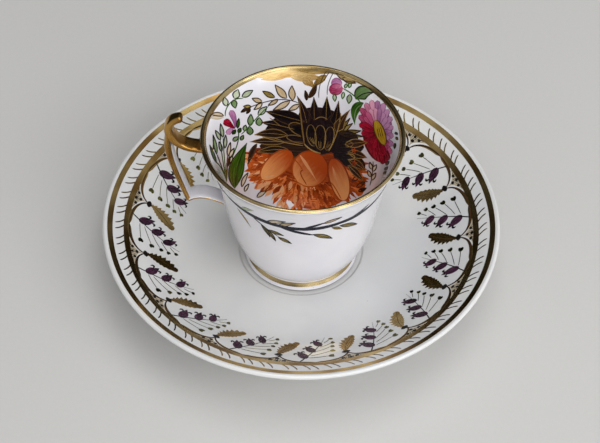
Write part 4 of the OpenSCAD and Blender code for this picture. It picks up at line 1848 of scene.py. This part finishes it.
    def daisy(self) -> None:
        """Paints the large daisy at the right: mauve where it is lit, crimson in its shade."""
        painter = self.painter
        middle = Vector((25.0, 2.0))
        long_way, wide_way = 11.0, 5.4
        c, s = math.cos(math.radians(12)), math.sin(math.radians(12))
        petals = 21
        painter.stroke(Paint.ROSE, Brush.OVAL, 9.0, (21.6, 9.6), (24.0, 4.0), (27.0, -3.0), layer=1)
        painter.stroke(Paint.CRIMSON, Brush.OVAL, 7.0, (22.4, 5.0), (23.2, -1.0), (26.8, -8.0), layer=1)
        painter.stroke(Paint.MAUVE, Brush.OVAL, 5.0, (24.6, 10.0), (27.6, 6.0), (27.8, -1.0), layer=1)
        for ring, reach in enumerate((1.0, 0.74)):
            for k in range(petals):
                degrees = 360 * (k + 0.5 * ring) / petals
                turn = math.radians(degrees)
                a = long_way * math.cos(turn) * reach
                b = wide_way * (1 + 0.32 * math.cos(turn)) * math.sin(turn) * reach
                tip = middle + Vector((b * c - a * s, a * c + b * s))
                base = middle + (tip - middle) * 0.16
                paint = next(p for limit, p in self.daisy_tints if degrees < limit)
                painter.stroke(paint, Brush.PETAL, 2.5 - 0.3 * ring, tuple(base), tuple(tip),
                               layer=2 + ring + k % 2 * 0.5)
        eye = painter.stroke(Paint.OCHRE, Brush.OVAL, 3.3, (24.2, 6.0), (27.2, -2.4), layer=5)
        painter.outline(Paint.BROWN, 0.26, eye)
        for k in (-1.5, 0.0, 1.5):
            mark = ((25.3 + k * 0.42, 3.4 + k * 0.2), (26.0 + k * 0.4, 0.4 + k * 0.2))
            painter.line(Paint.UMBER, 0.2, *mark, layer=7)

    def right_sprigs(self) -> None:
        """Paints the small leaves at the right, below the daisy."""
        painter = self.painter
        for base, tip in (
            ((30.6, 1.9), (31.7, 1.2)), ((31.0, 0.4), (31.7, -0.6)), ((30.7, -1.6), (30.5, -3.6)),
            ((27.6, -9.0), (28.8, -7.8)), ((27.2, -10.6), (28.4, -9.5)), ((26.8, -12.0), (27.8, -11.0)),
        ):
            painter.leaf(Paint.OLIVE, Paint.INK, 0.6, base, tip)
        painter.line(Paint.BROWN, 0.26, (22.4, -15.8), (23.6, -11.0), (23.4, -7.8))
        for base, tip in (
            ((22.8, -14.0), (24.4, -11.6)), ((22.6, -13.0), (21.6, -10.6)),
            ((23.2, -11.2), (24.6, -8.8)), ((23.0, -10.4), (22.2, -8.0)),
        ):
            painter.leaf(Paint.TAN, Paint.BROWN, 1.1, base, tip)
        for base, tip in (
            ((17.8, -16.4), (20.8, -14.6)), ((18.4, -17.8), (21.2, -16.6)), ((16.4, -14.2), (19.4, -12.2)),
        ):
            painter.leaf(Paint.UMBER, Paint.INK, 1.2, base, tip)

    def near_wall(self) -> None:
        """Paints the wall near the camera, which the photograph's view hides."""
        painter = self.painter
        for path in (((-20.0, 4.0), (-16.0, 10.0), (-10.0, 15.0)), ((20.0, 5.0), (16.0, 11.0), (9.0, 15.5)),
                     ((-4.0, 6.0), (-2.0, 11.0), (1.0, 16.0))):
            painter.sprig(Paint.BROWN, Paint.OLIVE, Paint.BROWN, path, 4, 3.0, 1.4)
        for path in (((-13.0, 0.0), (-11.0, 5.0), (-7.0, 9.0)), ((12.0, 0.0), (10.0, 6.0), (6.0, 9.0))):
            painter.sprig(Paint.DARK_GREEN, Paint.SAGE, None, path, 3, 2.6, 1.4)
        for x, y in ((-9.0, 17.4), (1.6, 18.6), (8.0, 17.6)):
            for k, tip in enumerate(arc((x, y), 2.0, 0, 360, 6)[:-1]):
                painter.stroke(Paint.PINK if k % 2 else Paint.MAUVE, Brush.PETAL, 1.5, (x, y), tip, layer=3)
            painter.stroke(Paint.OCHRE, Brush.OVAL, 1.2, (x - 0.6, y), (x + 0.6, y), layer=4)


# The handle

@dataclass
class Handle:
    """The strap handle: a gilt strap and thumb horn, a gilt spine and a white bracket.

    Its middle lines are reach from the cup's axis and height above the cup's foot.
    """

    shop: Workshop
    cup: Cup
    width: float = 5.7
    strap_t: float = 1.5
    horn_t: float = 3.1
    horn_w: float = 4.8
    horn_tip_t: float = 2.3
    horn_tip_w: float = 3.6
    horn_taper: float = 1.3
    tip_rings: int = 6
    tip_narrowing: float = 0.9
    spine_t: float = 3.0
    spine_end: float = 0.65
    spine_flare: float = 2.4
    hidden_top: int = 6
    bracket_t: float = 1.3
    sharpest_mitre: float = 0.35
    edge_t: float = 0.62
    edge_w: float = 0.36
    edge_out: float = 0.26
    edge_inset: float = 0.1
    edge_corners: int = 10
    skin: float = 0.05
    skin_sink: float = 0.1
    skin_start: float = 0.3
    skin_growth: float = 0.12
    skin_arc: float = 135.0
    skin_steps: int = 8
    squareness: float = 3.0
    strap_squareness: float = 4.0
    corners: int = 40
    strap_steps: int = 22
    horn_steps: int = 20
    spine_steps: int = 26
    bracket_steps: int = 20
    glaze: Glaze = Glaze("handle_glaze", "ebe9ee", "e2e1e8")
    gilt: Gilding = Gilding("handle_gilding", "d0a65c", "875c24", roughness=0.1)
    strap_line: tuple[Point, ...] = ((29.9, 51.87), (35.0, 51.9), (40.8, 52.0), (43.6, 57.3))
    horn_line: tuple[Point, ...] = ((43.6, 57.3), (45.8, 60.9), (44.5, 64.6), (40.9, 65.5))
    spine_line: tuple[Point, ...] = ((45.2, 59.5), (45.7, 50.5), (43.8, 44.0), (39.4, 27.7))
    bracket_line: tuple[Point, ...] = ((39.4, 27.7), (36.0, 30.2), (32.0, 30.0), (26.0, 25.6))

    def spot(self, point: Point, across: float) -> Vector:
        """A place in the part's frame from one in the handle's own plane."""
        return Vector((-point[0], across, point[1] + self.cup.base_z))

    def loft(self, name: str, rings: Sequence[Sequence[Vector]], finish: Glaze | Gilding) -> Piece:
        """Joins closed rings of points into a capped solid.

        Args:
            name: The piece's name.
            rings: The rings, all with the same number of points.
            finish: Its finish.

        Returns:
            The solid.
        """
        count = len(rings[0])
        verts = [p for ring in rings for p in ring]
        faces: list[tuple[int, ...]] = []
        for i in range(len(rings) - 1):
            for j in range(count):
                a, b = i * count + j, i * count + (j + 1) % count
                faces.append((a, b, b + count, a + count))
        faces.append(tuple(range(count))[::-1])
        faces.append(tuple((len(rings) - 1) * count + j for j in range(count)))
        return self.shop.piece(name, verts, faces, finish)

    def section(self, point: Point, side: Vector, turns: Sequence[float], half: Point,
                squareness: float) -> list[Vector]:
        """Points round a rounded section.

        Args:
            point: The section's middle.
            side: The middle line's normal there.
            turns: The angles of the points, from the normal.
            half: Half the section's thickness and half its width.
            squareness: How square the section is: 2 is an oval.

        Returns:
            One point for each angle.
        """
        ring = []
        for turn in turns:
            out, over = (math.copysign(abs(share) ** (2 / squareness), share) * size
                         for share, size in zip((math.cos(turn), math.sin(turn)), half))
            ring.append(self.spot(aside(point, side, out), over))
        return ring

    def rings(self, line: Sequence[Point], thick: Sequence[float], wide: Sequence[float],
              squareness: float) -> list[list[Vector]]:
        """Rounded sections along a middle line, each with its own thickness and width."""
        turns = [math.tau * k / self.corners for k in range(self.corners)]
        return [self.section(point, side, turns, (t / 2, w / 2), squareness)
                for point, side, t, w in zip(line, left_normals(line), thick, wide)]

    def strap_and_horn(self) -> list[list[Vector]]:
        """Draws the gilt strap and horn, with a round tip.

        Returns:
            Their sections.
        """
        line = curve(self.strap_line, self.strap_steps) + curve(self.horn_line, self.horn_steps)[1:]
        thick, wide = [], []
        for i in range(len(line)):
            swell = min(1.0, i / self.strap_steps) ** 2
            u = max(0.0, (i - self.strap_steps) / self.horn_steps)
            thick.append(self.strap_t + (self.horn_t - self.strap_t) * swell
                         + (self.horn_tip_t - self.horn_t) * u)
            wide.append(self.width + (self.horn_w - self.width) * swell
                        + (self.horn_tip_w - self.horn_w) * u ** self.horn_taper)
        tip = Vector(line[-1])
        ahead = (tip - Vector(line[-2])).normalized()
        for k in range(1, self.tip_rings + 1):
            a = math.pi / 2 * k / (self.tip_rings + 0.3)
            line.append(tuple(tip + ahead * self.horn_tip_t / 2 * math.sin(a)))
            thick.append(self.horn_tip_t * math.cos(a))
            wide.append(self.horn_tip_w - self.horn_tip_t * (1 - math.cos(a)) * self.tip_narrowing)
        grow = 2 * self.skin
        return self.rings(line, [t + grow for t in thick], [w + grow for w in wide], self.strap_squareness)

    def spine_and_bracket(self) -> list[list[Vector]]:
        """Draws the white spine and bracket, mitred where they meet; the horn hides the top.

        Returns:
            Their sections.
        """
        spine = curve(self.spine_line, self.spine_steps)
        bracket = curve(self.bracket_line, self.bracket_steps)
        shares = [i / self.spine_steps for i in range(self.hidden_top, self.spine_steps)]
        a = Vector(spine[-1]) - Vector(spine[-2])
        b = Vector(bracket[1]) - Vector(bracket[0])
        mitre = self.bracket_t / max(self.sharpest_mitre, math.cos(a.angle(b) / 2))
        line = spine[self.hidden_top:-1] + bracket
        thick = [self.spine_at(share) for share in shares] + [mitre] + [self.bracket_t] * self.bracket_steps
        wide = [self.spine_w(share) for share in shares] + [self.width] * len(bracket)
        return self.rings(line, thick, wide, self.squareness)

    def spine_at(self, share: float) -> float:
        """The spine's thickness at a share of its length."""
        return self.spine_t * (1 + (self.spine_end - 1) * share)

    def spine_w(self, share: float) -> float:
        """The spine's width at a share of its length; it meets the narrower horn at its top."""
        return self.width + (self.horn_w - self.width) * max(0.0, 1 - share * self.spine_flare)

    def spine_skin(self) -> list[list[Vector]]:
        """Draws the gold on the spine's outside and its two side faces, thin where it starts.

        Returns:
            Its sections.
        """
        line = curve(self.spine_line, self.spine_steps)
        points = 2 * self.skin_steps + 1
        turns = [math.radians(self.skin_arc * (1 - k / self.skin_steps)) for k in range(points)]
        rings = []
        for i, (point, side) in enumerate(zip(line, left_normals(line))):
            share = i / self.spine_steps
            half_t = self.spine_at(share) / 2 * min(1.0, self.skin_start + self.skin_growth * i)
            half_w = self.spine_w(share) / 2
            outer, inner = (self.section(point, side, turns, (half_t + grow, half_w + grow), self.squareness)
                            for grow in (self.skin, -self.skin_sink))
            rings.append(inner + outer[::-1])
        return rings

    def bracket_edge(self, side: int) -> list[list[Vector]]:
        """Draws the gold line along one edge of the bracket.

        Args:
            side: The edge, 1 or -1.

        Returns:
            Its sections.
        """
        line = curve(self.bracket_line, self.bracket_steps)[:-1]
        rings = []
        for point, normal in zip(line, left_normals(line)):
            ring = []
            for k in range(self.edge_corners):
                a = math.tau * k / self.edge_corners
                out = self.bracket_t * self.edge_out + self.edge_t / 2 * math.cos(a)
                over = side * (self.width / 2 - self.edge_inset) + self.edge_w / 2 * math.sin(a)
                ring.append(self.spot(aside(point, normal, out), over))
            rings.append(ring)
        return rings

    def build(self) -> None:
        """Makes the porcelain handle and the gold over it."""
        gold = (self.gilt, Slot.GILDING)
        white = (self.glaze, Slot.PORCELAIN)
        for name, rings, (finish, slot), nodes in (
            ("handle_spine_and_bracket", self.spine_and_bracket(), white, ("cup_handle",)),
            ("handle_gilt_strap_and_horn", self.strap_and_horn(), gold, ("handle_gilding",)),
            ("handle_gilt_spine", self.spine_skin(), gold, ()),
            ("handle_gilt_edge_front", self.bracket_edge(-1), gold, ()),
            ("handle_gilt_edge_back", self.bracket_edge(1), gold, ()),
        ):
            piece = self.loft(name, rings, finish)
            self.shop.smooth(piece)
            self.shop.hand_over(piece, Body.CUP, slot, *nodes)


# The studio

@dataclass
class Studio:
    """The camera, the pale floor, the soft lamps and the surround.

    A lamp has a name, a place and a size in metres, and a power in watts. The surround darkens to the
    back, and shade_lean is how much that lessens with height and to the right.
    """

    shop: Workshop
    aim: tuple[float, float, float] = (0.0, 0.0, 23.6)
    elevation: float = 48.96
    distance: float = 550.0
    roll: float = 1.05
    lens: float = 93.42
    sensor: float = 36.0
    picture_shift: Point = (1.5, 5.1)
    picture_width: float = 600.0
    lamps: tuple[tuple[str, tuple[float, float, float], Point, float], ...] = (
        ("lamp_front", (0.5, -0.8, 0.85), (1.5, 0.4), 7.2),
        ("lamp_over", (0.1, 0.0, 1.1), (0.9, 0.6), 3.2),
        ("lamp_low", (0.6, -1.0, 0.36), (0.9, 0.5), 2.9),
    )
    floor_half: float = 3000.0
    floor_grain: float = 700.0
    floor_tints: tuple[str, str] = ("c9c8c6", "cdccca")
    surround_tints: tuple[str, str] = ("c6c6c6", "303030")
    shade_lean: Point = (0.6, 0.4)
    shade_range: Point = (-0.55, 0.45)

    def eye(self) -> Vector:
        """Where the camera stands."""
        a = math.radians(self.elevation)
        return Vector(self.aim) + Vector((0.0, -math.cos(a), math.sin(a))) * self.distance

    def view(self) -> Matrix:
        """The camera's turn: its columns are right, up and backwards."""
        turn = (Vector(self.aim) - self.eye()).to_track_quat("-Z", "Y").to_matrix()
        return turn @ Matrix.Rotation(math.radians(self.roll), 3, "Z")

    def bowl_canvas(self, cup: Cup, azimuth: float) -> BowlCanvas:
        """The cup's inside as the camera sees it, or would from so many degrees round the cup."""
        around = Matrix.Rotation(math.radians(azimuth), 3, "Z")
        return BowlCanvas(cup, around @ self.eye(), around @ self.view())

    def camera(self) -> None:
        """Places the camera at the photograph's view."""
        data = bpy.data.cameras.new("camera")
        data.lens = self.lens
        data.sensor_width = self.sensor
        data.shift_x = -self.picture_shift[0] / self.picture_width
        data.shift_y = -self.picture_shift[1] / self.picture_width
        data.clip_start = 0.01
        camera = bpy.data.objects.new("camera", data)
        camera.matrix_world = Matrix.Translation(self.eye() * MM) @ self.view().to_4x4()
        bpy.context.scene.collection.objects.link(camera)
        bpy.context.scene.camera = camera

    def lamp(self, name: str, place: tuple[float, float, float], size: Point, power: float) -> None:
        """Hangs a soft lamp that faces the cup.

        Args:
            name: The lamp's name.
            place: Where it hangs, in metres.
            size: Its width and height, in metres.
            power: Its power in watts.
        """
        data = bpy.data.lights.new(name, "AREA")
        data.shape = "RECTANGLE"
        data.size, data.size_y = size
        data.energy = power
        lamp = bpy.data.objects.new(name, data)
        lamp.location = place
        lamp.rotation_euler = (Vector(self.aim) * MM - Vector(place)).to_track_quat("-Z", "Y").to_euler()
        bpy.context.scene.collection.objects.link(lamp)

    def floor(self) -> None:
        """Lays the plain pale floor."""
        half = self.floor_half
        corners = [Vector((x * half, y * half, 0.0)) for x, y in ((-1, -1), (1, -1), (1, 1), (-1, 1))]
        floor = self.shop.piece("floor", corners, [(0, 1, 2, 3)])
        recipe = Recipe("floor_paper")
        grain = recipe.noise(recipe.place(), self.floor_grain, 2.0)
        colour = recipe.mix(grain, *(tint(code) for code in self.floor_tints))
        floor.data.materials.append(recipe.surface({"Base Color": colour, "Roughness": 0.8}))

    def world(self) -> None:
        """Sets an even surround that is dark low down behind and at the left."""
        world = bpy.data.worlds.new("studio")
        bpy.context.scene.world = world
        world.use_nodes = True
        graph = Graph(world.node_tree)
        graph.tree.nodes.clear()
        side, depth, height = graph.xyz(graph.out("ShaderNodeTexCoord", "Generated"))
        high, right = self.shade_lean
        shade = (depth - height * high - side * right).step(*self.shade_range)
        colour = graph.mix(shade, *(tint(code) for code in self.surround_tints))
        light = graph.out("ShaderNodeBackground", "Background", None, {"Color": colour, "Strength": 1.0})
        graph.node("ShaderNodeOutputWorld", None, {"Surface": light})

    def build(self) -> None:
        """Sets up the whole studio."""
        self.camera()
        self.floor()
        self.world()
        for lamp in self.lamps:
            self.lamp(*lamp)
        bpy.context.scene.view_settings.view_transform = "Standard"


def main() -> None:
    """Builds the teacup and saucer and the studio round them."""
    logging.basicConfig(level=logging.INFO, format="%(name)s: %(message)s")
    shop = Workshop()
    saucer_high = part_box("saucer")[1] / MM
    cup_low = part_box("cup_body")[0] / MM
    lip_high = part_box("cup_rim_gilding")[1] / MM
    saucer = Saucer(shop, radius=saucer_high.x)
    proud = saucer.gilt_proud
    cup = Cup(shop, base_z=cup_low.z, rim_r=lip_high.x - proud, height=lip_high.z - cup_low.z - proud)
    studio = Studio(shop)
    studio.build()
    parts = (saucer, SaucerBorder(shop, saucer), cup, CupGarland(shop, cup), BowlPainting(shop, cup, studio),
             Handle(shop, cup))
    for part in parts:
        LOG.info("building %s", type(part).__name__)
        part.build()


if __name__ == "__main__":
    main()
